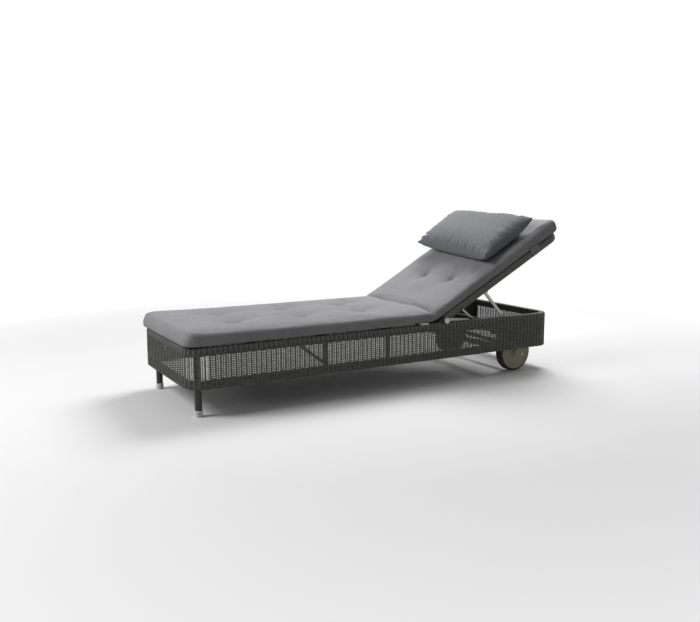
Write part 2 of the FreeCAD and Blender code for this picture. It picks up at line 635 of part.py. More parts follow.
def make_pads():
    """Pale pads on the rails beside the fold."""
    x = HINGE_X - PAD_TO_HINGE - PAD_LENGTH
    y = HALF_WIDTH - PAD_EDGE_INSET - PAD_WIDTH
    pad = box(x, x + PAD_LENGTH, y, y + PAD_WIDTH, BASE_TOP, BASE_TOP + PAD_HEIGHT)
    upright = [edge for edge in pad.Edges if edge.BoundBox.ZLength > PAD_HEIGHT / 2]
    pad = pad.makeFillet(PAD_EDGE_RADIUS, upright)
    return {"rail_pads": Part.makeCompound([pad, mirrored(pad)])}


def raised(shape):
    """Turn a piece drawn on the flat backrest up to the rest angle, and set it on the hinge."""
    turned = shape.rotated(V(0, 0, 0), V(0, 1, 0), -REST_ANGLE)
    return turned.translated(V(HINGE_X, 0, HINGE_Z))


def tube_section(x, growth):
    """Section of the backrest tube on the +Y side, in the plane X = x, larger by growth all round."""
    y0, y1 = BACK_TUBE_INNER_Y - growth, BACK_TUBE_OUTER_Y + growth
    z0, z1 = BACK_UNDERSIDE - growth, BACK_TOP + growth
    edge = BACK_TUBE_EDGE_RADIUS + growth
    return Part.Face(rounded_outline(y0, y1, z0, z1, edge, lambda y, z: V(x, y, z)))


def tube_run(x0, x1, growth):
    """Solid length of the backrest tube's outline on the +Y side."""
    return tube_section(x0, growth).extrude(V(x1 - x0, 0, 0))


def make_back_frame():
    """Backrest tubes, cross bars and woven panel, drawn flat."""
    radius = BACK_TUBE_WIDTH / 2
    bend_start = BACK_BEND_START
    side = tube_run(0, bend_start, 0).cut(tube_run(radius, bend_start, -BACK_TUBE_WALL))
    side = joined([side, round_y(0, BACK_EYE_LIFT, radius, BACK_TUBE_INNER_Y, BACK_TUBE_OUTER_Y)])
    side = side.cut(round_y(0, 0, HINGE_PIN_RADIUS + RUNNING_FIT, BACK_TUBE_INNER_Y, BACK_TUBE_OUTER_Y))

    ring = tube_section(bend_start, 0).cut(tube_section(bend_start, -BACK_TUBE_WALL)).Faces[0]
    centre = V(bend_start, BACK_TUBE_Y - BACK_BEND_RADIUS, 0)
    bend = ring.revolve(centre, V(0, 0, 1), -90)
    straight = ring.rotated(centre, V(0, 0, 1), -90).extrude(V(0, -2 * centre.y, 0))
    top_bar = joined([bend, straight, mirrored(bend)])

    bar_radius = BACK_BAR_DIAMETER / 2
    bar_end = BACK_TUBE_INNER_Y + bar_radius / 2
    tube_seat = tube_run(0, bend_start, SEAT_FIT)
    bars = []
    for station in BACK_BAR_STATIONS:
        bar = round_y(station, BACK_BAR_LIFT, bar_radius, -bar_end, bar_end)
        bar = bar.cut(round_y(station, BACK_BAR_LIFT, bar_radius - BACK_TUBE_WALL, -bar_end, bar_end))
        bars.append(bar.cut([tube_seat, mirrored(tube_seat)]))

    width = BACK_TUBE_INNER_Y - BACK_PANEL_GAP
    end = BACK_LENGTH - BACK_TUBE_WIDTH - BACK_PANEL_GAP
    corner = BACK_BEND_RADIUS - radius
    start = BACK_PANEL_START
    level = BACK_BAR_LIFT + bar_radius
    outline = rounded_outline(start, end, -width, width, corner, lambda x, y: V(x, y, level))
    panel = Part.Face(outline).extrude(V(0, 0, BACK_PANEL_THICKNESS))
    return {
        "backrest_side_right": side, "backrest_side_left": mirrored(side),
        "backrest_top_bar": top_bar, "backrest_panel": panel,
        "backrest_cross_bars": Part.makeCompound(bars),
    }


def make_back_fittings():
    """Stay lugs and pins, curved arms and tie straps of the backrest, drawn flat."""
    pin_x, pin_z = STAY_PIN_ALONG, -STAY_PIN_DROP
    tube = tube_run(0, BACK_LENGTH, SEAT_FIT)
    x0, x1 = pin_x - LUG_HALF_WIDTH, pin_x + LUG_HALF_WIDTH
    lug = joined([
        box(x0, x1, LUG_INNER_Y, LUG_OUTER_Y, pin_z, BACK_TUBE_LIFT),
        round_y(pin_x, pin_z, LUG_HALF_WIDTH, LUG_INNER_Y, LUG_OUTER_Y),
        box(x0, x1, LUG_OUTER_Y, LUG_OUTER_Y + LUG_SADDLE_REACH, BACK_UNDERSIDE, BACK_TUBE_LIFT),
    ])
    lug = lug.cut([tube, round_y(pin_x, pin_z, STAY_PIN_RADIUS + SEAT_FIT, LUG_INNER_Y, LUG_OUTER_Y)])
    clip1 = STAY_INNER_Y - STAY_SIDE_GAP
    pin = joined([
        round_y(pin_x, pin_z, STAY_PIN_RADIUS, clip1, LUG_OUTER_Y),
        round_y(pin_x, pin_z, PIN_CLIP_RADIUS, clip1 - PIN_CLIP_HEIGHT, clip1),
    ])

    start_x, start_z = BACK_BAR_STATIONS[0], BACK_BAR_LIFT - BACK_BAR_DIAMETER / 2
    tip_x, tip_z = start_x + ARM_TIP_FORWARD, start_z - ARM_TIP_DROP
    chord = math.hypot(ARM_TIP_FORWARD, ARM_TIP_DROP)
    away_x, away_z = -ARM_TIP_DROP / chord, -ARM_TIP_FORWARD / chord
    half = ARM_WIDTH / 2
    y1 = INNER_Y - ARM_INSET

    def arc(offset):
        shift = V(away_x * offset, 0, away_z * offset)
        middle = V((start_x + tip_x) / 2, y1, (start_z + tip_z) / 2)
        middle += V(away_x * ARM_SAG, 0, away_z * ARM_SAG)
        return [V(start_x, y1, start_z) + shift, middle + shift, V(tip_x, y1, tip_z) + shift]
    near, far = arc(-half), arc(half)
    outline = Part.Wire([
        Part.Arc(*near).toShape(), Part.makeLine(near[2], far[2]),
        Part.Arc(*far).toShape(), Part.makeLine(far[0], near[0]),
    ])
    arm = Part.Face(outline).extrude(V(0, -ARM_THICKNESS, 0))
    weld = round_y(start_x, BACK_BAR_LIFT, BACK_BAR_DIAMETER / 2 + SEAT_FIT, y1 - ARM_THICKNESS, y1)
    y0 = y1 - ARM_THICKNESS
    root = box(start_x - ARM_WIDTH, start_x + ARM_WIDTH, y0, y1, start_z - ARM_WIDTH, BACK_BAR_LIFT)
    arm = joined([arm, root]).cut(weld)

    x0, x1 = STRAP_STATION, STRAP_STATION + STRAP_WIDTH
    strap = tube_run(x0, x1, SOFT_GAP + STRAP_THICKNESS).cut(tube_run(x0, x1, SOFT_GAP))
    strap_low = BACK_UNDERSIDE - BACK_TUBE_HEIGHT
    strap_inner = BACK_TUBE_INNER_Y + STRAP_INNER_INSET
    outside = box(x0, x1, BACK_TUBE_Y, BASE_WIDTH, strap_low, BACK_TOP)
    beneath = box(x0, x1, strap_inner, BACK_TUBE_Y, strap_low, BACK_TUBE_LIFT)
    strap = joined([strap.common(outside), strap.common(beneath)])
    return {
        "stay_lug_right": lug, "stay_lug_left": mirrored(lug),
        "stay_pins": Part.makeCompound([pin, mirrored(pin)]),
        "curved_arm_right": arm, "curved_arm_left": mirrored(arm),
        "tie_straps": Part.makeCompound([strap, mirrored(strap)]),
    }


def make_stay():
    """Prop stay at rest: two arms on the lug pins and the foot bar between them."""
    pin_x, pin_z = stay_pin(REST_ANGLE)
    foot_x, foot_z = stay_foot(REST_ANGLE)
    slope = math.radians(STAY_REST_ANGLE)
    dx, dz = STAY_WIDTH / 2 * math.sin(slope), STAY_WIDTH / 2 * math.cos(slope)
    outline = [
        (pin_x - dx, pin_z - dz), (foot_x - dx, foot_z - dz),
        (foot_x + dx, foot_z + dz), (pin_x + dx, pin_z + dz),
    ]
    y0, y1 = STAY_INNER_Y, STAY_OUTER_Y
    arm = joined([
        polygon(outline, y0, y1),
        round_y(pin_x, pin_z, STAY_PIN_RADIUS + STAY_EYE_WALL, y0, y1),
        round_y(foot_x, foot_z, FOOT_BAR_RADIUS + STAY_EYE_WALL, y0, y1),
    ])
    arm = arm.cut([
        round_y(pin_x, pin_z, STAY_PIN_RADIUS + RUNNING_FIT, y0, y1),
        round_y(foot_x, foot_z, FOOT_BAR_RADIUS + SEAT_FIT, y0, y1),
    ])
    bar = round_y(foot_x, foot_z, FOOT_BAR_RADIUS, -FOOT_BAR_Y, FOOT_BAR_Y)
    return {"stay_arm_right": arm, "stay_arm_left": mirrored(arm), "stay_foot_bar": bar}


def mattress_section(x, z, half_width, side, crown, bulge):
    """Closed section across a cushion: flat below, bulging sides, crowned top."""
    low_left, low_right = V(x, -half_width, z), V(x, half_width, z)
    top_left, top_right = V(x, -half_width, z + side), V(x, half_width, z + side)
    return Part.Wire([
        Part.makeLine(low_left, low_right),
        Part.Arc(low_right, V(x, half_width + bulge, z + side / 2), top_right).toShape(),
        Part.Arc(top_right, V(x, 0, z + side + crown), top_left).toShape(),
        Part.Arc(top_left, V(x, -half_width - bulge, z + side / 2), low_left).toShape(),
    ])


def side_height(x, x0, x1, end_side):
    """Height of the side at x of a mattress half from x0 to x1, which grows to end_side at its end."""
    first, last = x0 + MATTRESS_END_ROUND, x1 - MATTRESS_END_ROUND
    return MATTRESS_SIDE + (end_side - MATTRESS_SIDE) * (x - first) / (last - first)


def cushion(x0, x1, z, end_side, tufts):
    """Mattress half from x0 to x1, resting at height z, its side growing to end_side, with sewn tufts."""
    half = MATTRESS_WIDTH / 2 - MATTRESS_SIDE_BULGE
    first, last = x0 + MATTRESS_END_ROUND, x1 - MATTRESS_END_ROUND
    end_crown = MATTRESS_CROWN / 2
    stations = [(x0, MATTRESS_DRAW_IN, MATTRESS_SIDE - MATTRESS_END_DROP, end_crown)]
    for i in range(MATTRESS_STATIONS + 1):
        x = first + (last - first) * i / MATTRESS_STATIONS
        inward = MATTRESS_DRAW_IN * math.sin(math.pi * i / MATTRESS_STATIONS)
        stations.append((x, inward, side_height(x, x0, x1, end_side), MATTRESS_CROWN))
    stations.append((x1, MATTRESS_DRAW_IN, end_side - MATTRESS_END_DROP, end_crown))
    sections = [
        mattress_section(x, z, half - inward, side, crown, MATTRESS_SIDE_BULGE)
        for x, inward, side, crown in stations
    ]
    body = Part.makeLoft(sections, True, False)
    for x in tufts:
        top = z + side_height(x, x0, x1, end_side) + MATTRESS_CROWN
        for y in (-TUFT_ACROSS / 2, TUFT_ACROSS / 2):
            crown_drop = MATTRESS_CROWN * (y / half) ** 2
            dimple = Part.makeCone(0, TUFT_RADIUS, TUFT_RADIUS, V(x, y, top - crown_drop - TUFT_DEPTH))
            body = body.cut(dimple)
    return body


def make_seat_cushion():
    """Seat half of the mattress, on the woven seat panel."""
    x0 = -HALF_LENGTH - FOOT_OVERHANG
    first = -HALF_LENGTH + FOOT_TO_FIRST_TUFT
    pitch = (SEAT_FOLD_X - LAST_TUFT_TO_FOLD - first) / (SEAT_TUFT_COUNT - 1)
    tufts = [first + i * pitch for i in range(SEAT_TUFT_COUNT)]
    return {"seat_cushion": cushion(x0, SEAT_FOLD_X, SEAT_TOP + SOFT_GAP, MATTRESS_SIDE, tufts)}


def make_back_cushion():
    """Back half of the mattress and the head pillow, drawn flat on the backrest."""
    low = BACK_TOP + SOFT_GAP
    tufts = [HINGE_TO_BACK_TUFT + i * BACK_TUFT_PITCH for i in range(BACK_TUFT_COUNT)]
    ends = (-BACK_FOLD_TO_HINGE, BACK_LENGTH + BACK_CUSHION_OVERHANG)
    back = cushion(*ends, low, MATTRESS_HEAD_SIDE, tufts)
    middle_x = PILLOW_START + PILLOW_DEPTH / 2
    under = low + side_height(middle_x, *ends, MATTRESS_HEAD_SIDE) + MATTRESS_CROWN
    seam = under + PILLOW_GAP + PILLOW_THICKNESS / 2
    half_width = PILLOW_WIDTH / 2
    stations = (
        (-half_width, 0.0, PILLOW_EAR_THICKNESS),
        (-half_width / 2, PILLOW_EAR, PILLOW_THICKNESS * PILLOW_QUARTER_FILL),
        (0.0, PILLOW_EAR, PILLOW_THICKNESS),
        (half_width / 2, PILLOW_EAR, PILLOW_THICKNESS * PILLOW_QUARTER_FILL),
        (half_width, 0.0, PILLOW_EAR_THICKNESS),
    )
    sections = []
    for y, inward, thickness in stations:
        front = V(PILLOW_START + inward, y, seam)
        rear = V(PILLOW_START + PILLOW_DEPTH - inward, y, seam)
        sections.append(Part.Wire([
            Part.Arc(front, V(middle_x, y, seam + thickness / 2), rear).toShape(),
            Part.Arc(rear, V(middle_x, y, seam - thickness / 2), front).toShape(),
        ]))
    pillow = Part.makeLoft(sections, True, False)
    return {"back_cushion": back, "head_pillow": pillow}


def build():
    """All nodes in place, before the frame is centred."""
    nodes = {}
    fixed = (make_walls, make_uprights, make_plates, make_seat_deck, make_legs, make_axle, make_pads)
    for make in fixed + (make_seat_cushion,):
        nodes.update(make())
    hinges, hinge_bolts = make_hinges()
    racks, rack_bolts = make_rack()
    nodes.update(hinges)
    nodes.update(racks)
    bolts = hinge_bolts + rack_bolts
    nodes["inner_bolts"] = Part.makeCompound(bolts + [mirrored(bolt) for bolt in bolts])
    for name, shape in make_wheel().items():
        nodes[name + "_right"] = shape
        nodes[name + "_left"] = mirrored(shape)
    for make in (make_back_frame, make_back_fittings, make_back_cushion):
        nodes.update({name: raised(shape) for name, shape in make().items()})
    nodes.update(make_stay())
    return nodes


def main():
    """Centre the model over its outer box and write one file per node."""
    nodes = build()
    outer = FreeCAD.BoundBox()
    for shape in nodes.values():
        outer.add(shape.optimalBoundingBox(False, False))
    shift = V(-(outer.XMin + outer.XMax) / 2, 0, 0)
    os.makedirs("parts", exist_ok=True)
    for name, shape in nodes.items():
        if not shape.isValid():
            print("not valid:", name)
        shape.translated(shift).exportStep("parts/" + name + ".step")
    stay_x, stay_z = stay_pin(REST_ANGLE)
    print("nodes", len(nodes), "size", outer.XLength, outer.YLength, outer.ZLength)
    print("hinge", HINGE_X + shift.x, HINGE_Z, "axle", AXLE_X + shift.x, AXLE_Z)
    print("stay pin", stay_x + shift.x, stay_z, "shift", shift.x)


main()
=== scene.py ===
import json
import logging
from dataclasses import dataclass
from enum import Enum
from math import copysign, cos, exp, hypot, pi, radians, sin, sqrt, tan
from typing import Any, Callable

import bmesh
import bpy
from mathutils import Matrix, Vector, noise


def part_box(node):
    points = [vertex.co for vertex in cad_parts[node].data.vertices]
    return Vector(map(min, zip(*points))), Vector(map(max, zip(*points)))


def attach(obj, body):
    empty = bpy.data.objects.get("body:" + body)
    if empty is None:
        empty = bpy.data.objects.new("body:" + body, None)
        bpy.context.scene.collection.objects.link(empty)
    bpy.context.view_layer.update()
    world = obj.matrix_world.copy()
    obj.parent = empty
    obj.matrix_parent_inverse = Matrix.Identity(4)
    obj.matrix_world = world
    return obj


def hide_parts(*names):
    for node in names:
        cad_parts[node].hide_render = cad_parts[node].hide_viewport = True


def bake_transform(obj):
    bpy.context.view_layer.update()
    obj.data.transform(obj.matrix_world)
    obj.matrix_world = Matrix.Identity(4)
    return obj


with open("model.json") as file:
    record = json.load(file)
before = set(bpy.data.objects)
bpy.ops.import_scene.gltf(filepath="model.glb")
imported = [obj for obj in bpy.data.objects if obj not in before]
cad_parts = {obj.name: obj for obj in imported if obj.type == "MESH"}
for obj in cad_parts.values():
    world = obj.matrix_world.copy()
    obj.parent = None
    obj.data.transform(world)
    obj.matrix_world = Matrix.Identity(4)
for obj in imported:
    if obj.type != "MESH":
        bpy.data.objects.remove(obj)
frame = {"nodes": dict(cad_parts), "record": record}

LOG = logging.getLogger("lounger")
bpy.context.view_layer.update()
RIB_PITCH = 0.023
SIMULATED_FRAMES = 16
# Share of an edge's length that counts as running along an axis
MOSTLY = 0.9
# Metres below which a distance counts as none
TINY = 1e-6
WHITE = (1, 1, 1, 1)

Colour = tuple[int, int, int]
Triple = tuple[float, float, float]
Mesh = bmesh.types.BMesh
Material = bpy.types.Material
Place = Callable[[Vector], Vector]


class Side(Enum):
    """The two long sides of the lounger; the value is the sign of Y."""

    LEFT = -1
    RIGHT = 1


class End(Enum):
    """The two short ends of the lounger; the value is the sign of X."""

    FOOT = -1
    HEAD = 1


# Shader helpers

class Signal:
    """A shader value that takes part in arithmetic."""

    def __init__(self, tree: bpy.types.NodeTree, socket: bpy.types.NodeSocket) -> None:
        """Keep the tree and the output socket."""
        self.tree = tree
        self.socket = socket

    def _math(self, operation: str, first: Any, second: Any = None) -> "Signal":
        """Add one Math node on signals or numbers, and return its result."""
        node = self.tree.nodes.new("ShaderNodeMath")
        node.operation = operation
        for socket, value in zip(node.inputs, (first, second)):
            if isinstance(value, Signal):
                self.tree.links.new(value.socket, socket)
            elif value is not None:
                socket.default_value = value
        return Signal(self.tree, node.outputs[0])

    def __add__(self, other: Any) -> "Signal":
        """Sum with a signal or number."""
        return self._math("ADD", self, other)

    __radd__ = __add__

    def __sub__(self, other: Any) -> "Signal":
        """Difference from a signal or number."""
        return self._math("SUBTRACT", self, other)

    def __mul__(self, other: Any) -> "Signal":
        """Product with a signal or number."""
        return self._math("MULTIPLY", self, other)

    __rmul__ = __mul__

    def sine(self) -> "Signal":
        """Sine of this signal, in radians."""
        return self._math("SINE", self)

    def size(self) -> "Signal":
        """This signal without its sign."""
        return self._math("ABSOLUTE", self)

    def power(self, exponent: float) -> "Signal":
        """This signal raised to a number."""
        return self._math("POWER", self, exponent)

    def clamped(self) -> "Signal":
        """This signal held between 0 and 1."""
        return self._math("MAXIMUM", self._math("MINIMUM", self, 1.0), 0.0)


def linear(colour: Colour) -> tuple[float, float, float, float]:
    """Turn a display colour of 0 to 255 into a linear one with alpha."""
    def channel(value: int) -> float:
        part = value / 255
        return part / 12.92 if part <= 0.04045 else ((part + 0.055) / 1.055) ** 2.4
    return (*[channel(value) for value in colour], 1.0)


class Paint:
    """A node material under construction, patterned on Object coordinates."""

    def __init__(self, name: str) -> None:
        """Start a material with one Principled shader."""
        self.material = bpy.data.materials.new(name)
        self.material.use_nodes = True
        self.tree = self.material.node_tree
        self.shader = self.tree.nodes["Principled BSDF"]
        self.coordinates = self.node("ShaderNodeTexCoord").outputs["Object"]

    def node(self, kind: str, settings: dict | None = None, sockets: dict | None = None) -> Any:
        """Add any node, set its attributes, then set or link its inputs, by name or number."""
        node = self.tree.nodes.new(kind)
        for name, value in (settings or {}).items():
            setattr(node, name, value)
        for name, value in (sockets or {}).items():
            self.feed(node.inputs[name], value)
        return node

    def feed(self, socket: bpy.types.NodeSocket, value: Any) -> None:
        """Link or set one input socket."""
        if isinstance(value, Signal):
            value = value.socket
        if isinstance(value, bpy.types.NodeSocket):
            self.tree.links.new(value, socket)
        else:
            socket.default_value = value

    def axis(self, letter: str) -> Signal:
        """One Object coordinate, in metres."""
        split = self.node("ShaderNodeSeparateXYZ", sockets={"Vector": self.coordinates})
        return Signal(self.tree, split.outputs[letter])

    def noise(self, scale: float, stretch: tuple = (1, 1, 1), detail: float = 3) -> Signal:
        """Noise from 0 to 1: cells per metre, how much finer along each axis, and octaves."""
        mapping = self.node("ShaderNodeMapping", sockets={"Vector": self.coordinates, "Scale": stretch})
        cells = {"Vector": mapping.outputs["Vector"], "Scale": scale, "Detail": detail, "Roughness": 0.6}
        return Signal(self.tree, self.node("ShaderNodeTexNoise", sockets=cells).outputs["Fac"])

    def ridges(self, letter: str, pitch: float) -> Signal:
        """Even ridges along one axis, from 0 to 1, a pitch in metres apart."""
        return (self.axis(letter) * (pi / pitch)).sine().size()

    def tint(self, factor: Signal, dark: Colour, light: Colour) -> bpy.types.NodeSocket:
        """Mix two display colours: the dark one at factor 0, the light one at 1."""
        mix = self.node("ShaderNodeMix", {"data_type": "RGBA", "clamp_factor": True})
        self.feed(mix.inputs["Factor"], factor)
        # Inputs 6 and 7 and output 2 are the node's colours
        self.feed(mix.inputs[6], linear(dark))
        self.feed(mix.inputs[7], linear(light))
        return mix.outputs[2]

    def finish(self, colour: Any, roughness: Any, height: Signal, depth: float, **constants: float) -> Any:
        """Connect the shader.

        Args:
            colour: base colour socket.
            roughness: signal or number.
            height: relief from 0 to 1.
            depth: metres of relief at height 1.
            constants: other shader sockets, with underscores for spaces.

        Returns:
            The finished material.
        """
        relief = self.node("ShaderNodeBump", sockets={"Height": height, "Distance": depth, "Strength": 1.0})
        self.feed(self.shader.inputs["Base Color"], colour)
        self.feed(self.shader.inputs["Roughness"], roughness)
        self.feed(self.shader.inputs["Normal"], relief.outputs["Normal"])
        for name, value in constants.items():
            self.shader.inputs[name.replace("_", " ")].default_value = value
        return self.material


# Finishes

@dataclass(frozen=True)
class Finish:
    """A look that varies between two display colours."""

    name: str
    dark: Colour
    light: Colour

    def coat(self, paint: Paint) -> Material:
        """Pattern and connect a paint; each kind of finish does it in its own way."""
        raise NotImplementedError


@dataclass(frozen=True)
class ResinStrand(Finish):
    """Extruded resin strand: dark, satin, finely grooved, a little uneven from strand to strand."""

    groove: float = 0.0011

    def coat(self, paint: Paint) -> Material:
        """Tone that changes from strand to strand, with grooves."""
        strand = paint.noise(60, (0.25, 0.25, 2.4), 2)
        speck = paint.noise(420)
        wear = strand * 0.75 + speck * 0.25
        colour = paint.tint((wear - 0.32) * 2.6, self.dark, self.light)
        groove = paint.ridges("Z", self.groove) * 0.6 + speck * 0.4
        return paint.finish(colour, 0.42 + strand * 0.22, groove, 0.00025, Specular_IOR_Level=0.4)


@dataclass(frozen=True)
class CoatedMetal(Finish):
    """Powder-coated tube: even colour with orange-peel relief and faint handling marks."""

    def coat(self, paint: Paint) -> Material:
        """Orange peel and handling marks."""
        peel = paint.noise(900, detail=2)
        marks = paint.noise(9, detail=5)
        colour = paint.tint(marks * 0.8 + peel * 0.2, self.dark, self.light)
        return paint.finish(colour, 0.4 + marks * 0.25, peel, 0.0001, Specular_IOR_Level=0.45)


@dataclass(frozen=True)
class BareMetal(Finish):
    """Drawn or turned metal: fine streaks along one axis and dull patches."""

    stretch: Triple = (0.05, 1.0, 1.0)
    metallic: float = 0.85

    def coat(self, paint: Paint) -> Material:
        """Streaks and dull patches."""
        streak = paint.noise(700, self.stretch)
        patch = paint.noise(22, detail=4)
        colour = paint.tint(streak * 0.45 + patch * 0.55, self.dark, self.light)
        rough = 0.24 + patch * 0.22 + streak * 0.1
        return paint.finish(colour, rough, streak, 0.00006, Metallic=self.metallic)


@dataclass(frozen=True)
class MouldedPlastic(Finish):
    """Moulded plastic or rubber: spark-eroded grain, scuffs that lighten it, satin gloss."""

    rough: float = 0.45
    grain: float = 1400.0

    def coat(self, paint: Paint) -> Material:
        """Grain and scuffs."""
        grain = paint.noise(self.grain, detail=2)
        scuff = paint.noise(34, detail=6)
        colour = paint.tint(scuff * 0.85 + grain * 0.15, self.dark, self.light)
        return paint.finish(colour, self.rough + scuff * 0.2, grain, 0.00012)


@dataclass(frozen=True)
class Cloth(Finish):
    """Heathered outdoor fabric in a plain weave, with slubs and soft fading."""

    thread: float = 0.0016

    def coat(self, paint: Paint) -> Material:
        """Heather, slubs and fading over a plain weave."""
        heather = paint.noise(260, detail=4)
        slub = paint.noise(95, (0.2, 1, 1))
        fade = paint.noise(5)
        tone = heather * 0.4 + slub * 0.25 + fade * 0.35
        colour = paint.tint((tone - 0.3) * 2.2, self.dark, self.light)
        weave = paint.ridges("X", self.thread) * 0.35 + paint.ridges("Y", self.thread) * 0.35
        relief = weave + heather * 0.3
        return paint.finish(
            colour, 0.82 + heather * 0.12, relief, 0.0003,
            Sheen_Weight=0.12, Sheen_Roughness=0.5, Specular_IOR_Level=0.2,
        )


FINISHES = (
    ResinStrand("woven_resin", (74, 75, 73), (114, 114, 109)),
    ResinStrand("wrapped_tube", (70, 70, 68), (106, 106, 102), 0.0013),
    CoatedMetal("dark_frame", (46, 46, 45), (62, 62, 60)),
    BareMetal("pale_aluminium", (150, 150, 147), (196, 196, 192), metallic=0.6),
    MouldedPlastic("pale_plastic", (222, 222, 218), (244, 244, 241), 0.38),
    MouldedPlastic("wheel_plastic", (158, 155, 134), (180, 177, 154), 0.5, 1100),
    MouldedPlastic("tyre_rubber", (34, 34, 33), (52, 52, 50), 0.62, 900),
    MouldedPlastic("bearing_plastic", (50, 50, 48), (70, 70, 67), 0.4),
    BareMetal("bolt_steel", (120, 120, 118), (168, 168, 166), (1, 1, 1), 1.0),
    Cloth("mattress_fabric", (140, 140, 142), (166, 166, 168)),
    Cloth("pillow_fabric", (114, 117, 121), (138, 141, 145), 0.0013),
    Cloth("strap_fabric", (132, 132, 134), (158, 158, 160), 0.0022),
)


# Pieces

def into_scene(name: str, data: Any) -> bpy.types.Object:
    """Make an object of a mesh, lamp or camera, and link it to the scene."""
    obj = bpy.data.objects.new(name, data)
    bpy.context.scene.collection.objects.link(obj)
    return obj


class Workshop:
    """Turns meshes into finished pieces that ride on the frame."""

    def __init__(self) -> None:
        """Make every finish once."""
        self.paints = {finish.name: finish.coat(Paint(finish.name)) for finish in FINISHES}

    def piece(self, name: str, mesh: Mesh, slot: str, smooth: bool = True) -> bpy.types.Object:
        """Make an object of a mesh, at the origin.

        Args:
            name: the piece's name.
            mesh: its shape in metres, in the shared frame; it is freed.
            slot: material slot of the record.
            smooth: shade smooth, or flat.

        Returns:
            The new object.
        """
        data = bpy.data.meshes.new(name)
        bmesh.ops.recalc_face_normals(mesh, faces=mesh.faces)
        for face in mesh.faces:
            face.smooth = smooth
        mesh.to_mesh(data)
        mesh.free()
        obj = into_scene(name, data)
        data.materials.append(self.paints[slot])
        LOG.info("%s: %d faces", name, len(data.polygons))
        return obj

    def dress_frame(self) -> None:
        """Give every CAD node the finish of its slot."""
        for row in frame["record"]["subparts"]:
            data = frame["nodes"][row["node"]].data
            data.materials.clear()
            data.materials.append(self.paints[row["material_slot"]])


# Shapes that several sub-assemblies use

def shift_all(mesh: Mesh, place: Place) -> None:
    """Move every vertex of a mesh to where place puts it."""
    for vertex in mesh.verts:
        vertex.co = place(vertex.co)


def add_block(mesh: Mesh, centre: Triple, size: Triple) -> list:
    """Add a block and return its vertices."""
    matrix = Matrix.Translation(centre) @ Matrix.Diagonal((*size, 1.0))
    return bmesh.ops.create_cube(mesh, size=1.0, matrix=matrix)["verts"]


def edges_along(verts: list, axis: int) -> list:
    """Edges at the vertices that run along one axis, numbered 0 to 2, each once."""
    found = {}
    for vertex in verts:
        for edge in vertex.link_edges:
            run = edge.verts[1].co - edge.verts[0].co
            if abs(run[axis]) > MOSTLY * run.length:
                found[edge] = None
    return list(found)


def faces_at(verts: list) -> list:
    """Faces at the vertices, each once."""
    return list({face: None for vertex in verts for face in vertex.link_faces})


def only_verts(geometry: list) -> list:
    """The vertices among mixed geometry."""
    return [item for item in geometry if isinstance(item, bmesh.types.BMVert)]


def round_edges(mesh: Mesh, edges: list, radius: float, segments: int) -> None:
    """Bevel edges to a radius."""
    bmesh.ops.bevel(
        mesh, geom=edges, offset=radius, segments=segments, profile=0.5, affect="EDGES", material=-1)


def divide(mesh: Mesh, runs: tuple[float, ...], spacing: float) -> None:
    """Divide a block into a grid: its runs along X, Y and so on, each into even steps near a spacing."""
    for axis, run in enumerate(runs):
        edges = edges_along(mesh.verts[:], axis)
        cuts = round(run / spacing) - 1
        bmesh.ops.subdivide_edges(mesh, edges=edges, cuts=cuts, use_grid_fill=True)


def repeat(mesh: Mesh, geometry: list, step: Triple, counts: range) -> None:
    """Copy vertices and faces to each count of steps away."""
    for count in counts:
        copy = bmesh.ops.duplicate(mesh, geom=geometry)["geom"]
        offset = tuple(count * part for part in step)
        bmesh.ops.translate(mesh, verts=only_verts(copy), vec=offset)


def smooth_step(value: float) -> float:
    """Ease from 0 to 1 as the value goes from 0 to 1, and hold outside."""
    part = min(max(value, 0.0), 1.0)
    return part * part * (3 - 2 * part)


def bump(place: float, height: float, middle: float, reach: float) -> float:
    """Height at a place of a smooth bump."""
    return height * exp(-(((place - middle) / reach) ** 2))


@dataclass(frozen=True)
class Layout:
    """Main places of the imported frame, in metres."""

    centre_x: float
    half_length: float
    half_width: float
    bottom: float
    top: float
    hinge: Vector

    @classmethod
    def of_frame(cls) -> "Layout":
        """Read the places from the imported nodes."""
        foot, head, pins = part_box("woven_skirt_foot"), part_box("woven_skirt_head"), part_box("hinge_pins")
        return cls(
            centre_x=(foot[0].x + head[1].x) / 2, half_length=(head[1].x - foot[0].x) / 2,
            half_width=head[1].y, bottom=head[0].z, top=head[1].z,
            hinge=Vector(((pins[0].x + pins[1].x) / 2, 0.0, (pins[0].z + pins[1].z) / 2)),
        )


@dataclass(frozen=True)
class RoundEnd:
    """A line out along one side, across by way of two bends, and back along the other side."""

    side: float
    bend: float
    half_width: float

    @property
    def length(self) -> float:
        """Length of the whole line."""
        return 2 * (self.side + self.half_width - self.bend) + pi * self.bend

    def at(self, run: float, outward: float) -> tuple[float, float]:
        """X and Y of a point at a run along the line and a distance outward from it."""
        along = min(run, self.length - run)
        turn = min(max((along - self.side) / self.bend, 0.0), pi / 2)
        reach = self.bend + outward
        x = min(along, self.side) + reach * sin(turn)
        inward = max(along - self.side - self.bend * pi / 2, 0.0)
        y = self.half_width - self.bend + reach * cos(turn) - inward
        return x, y if run > self.length / 2 else -y


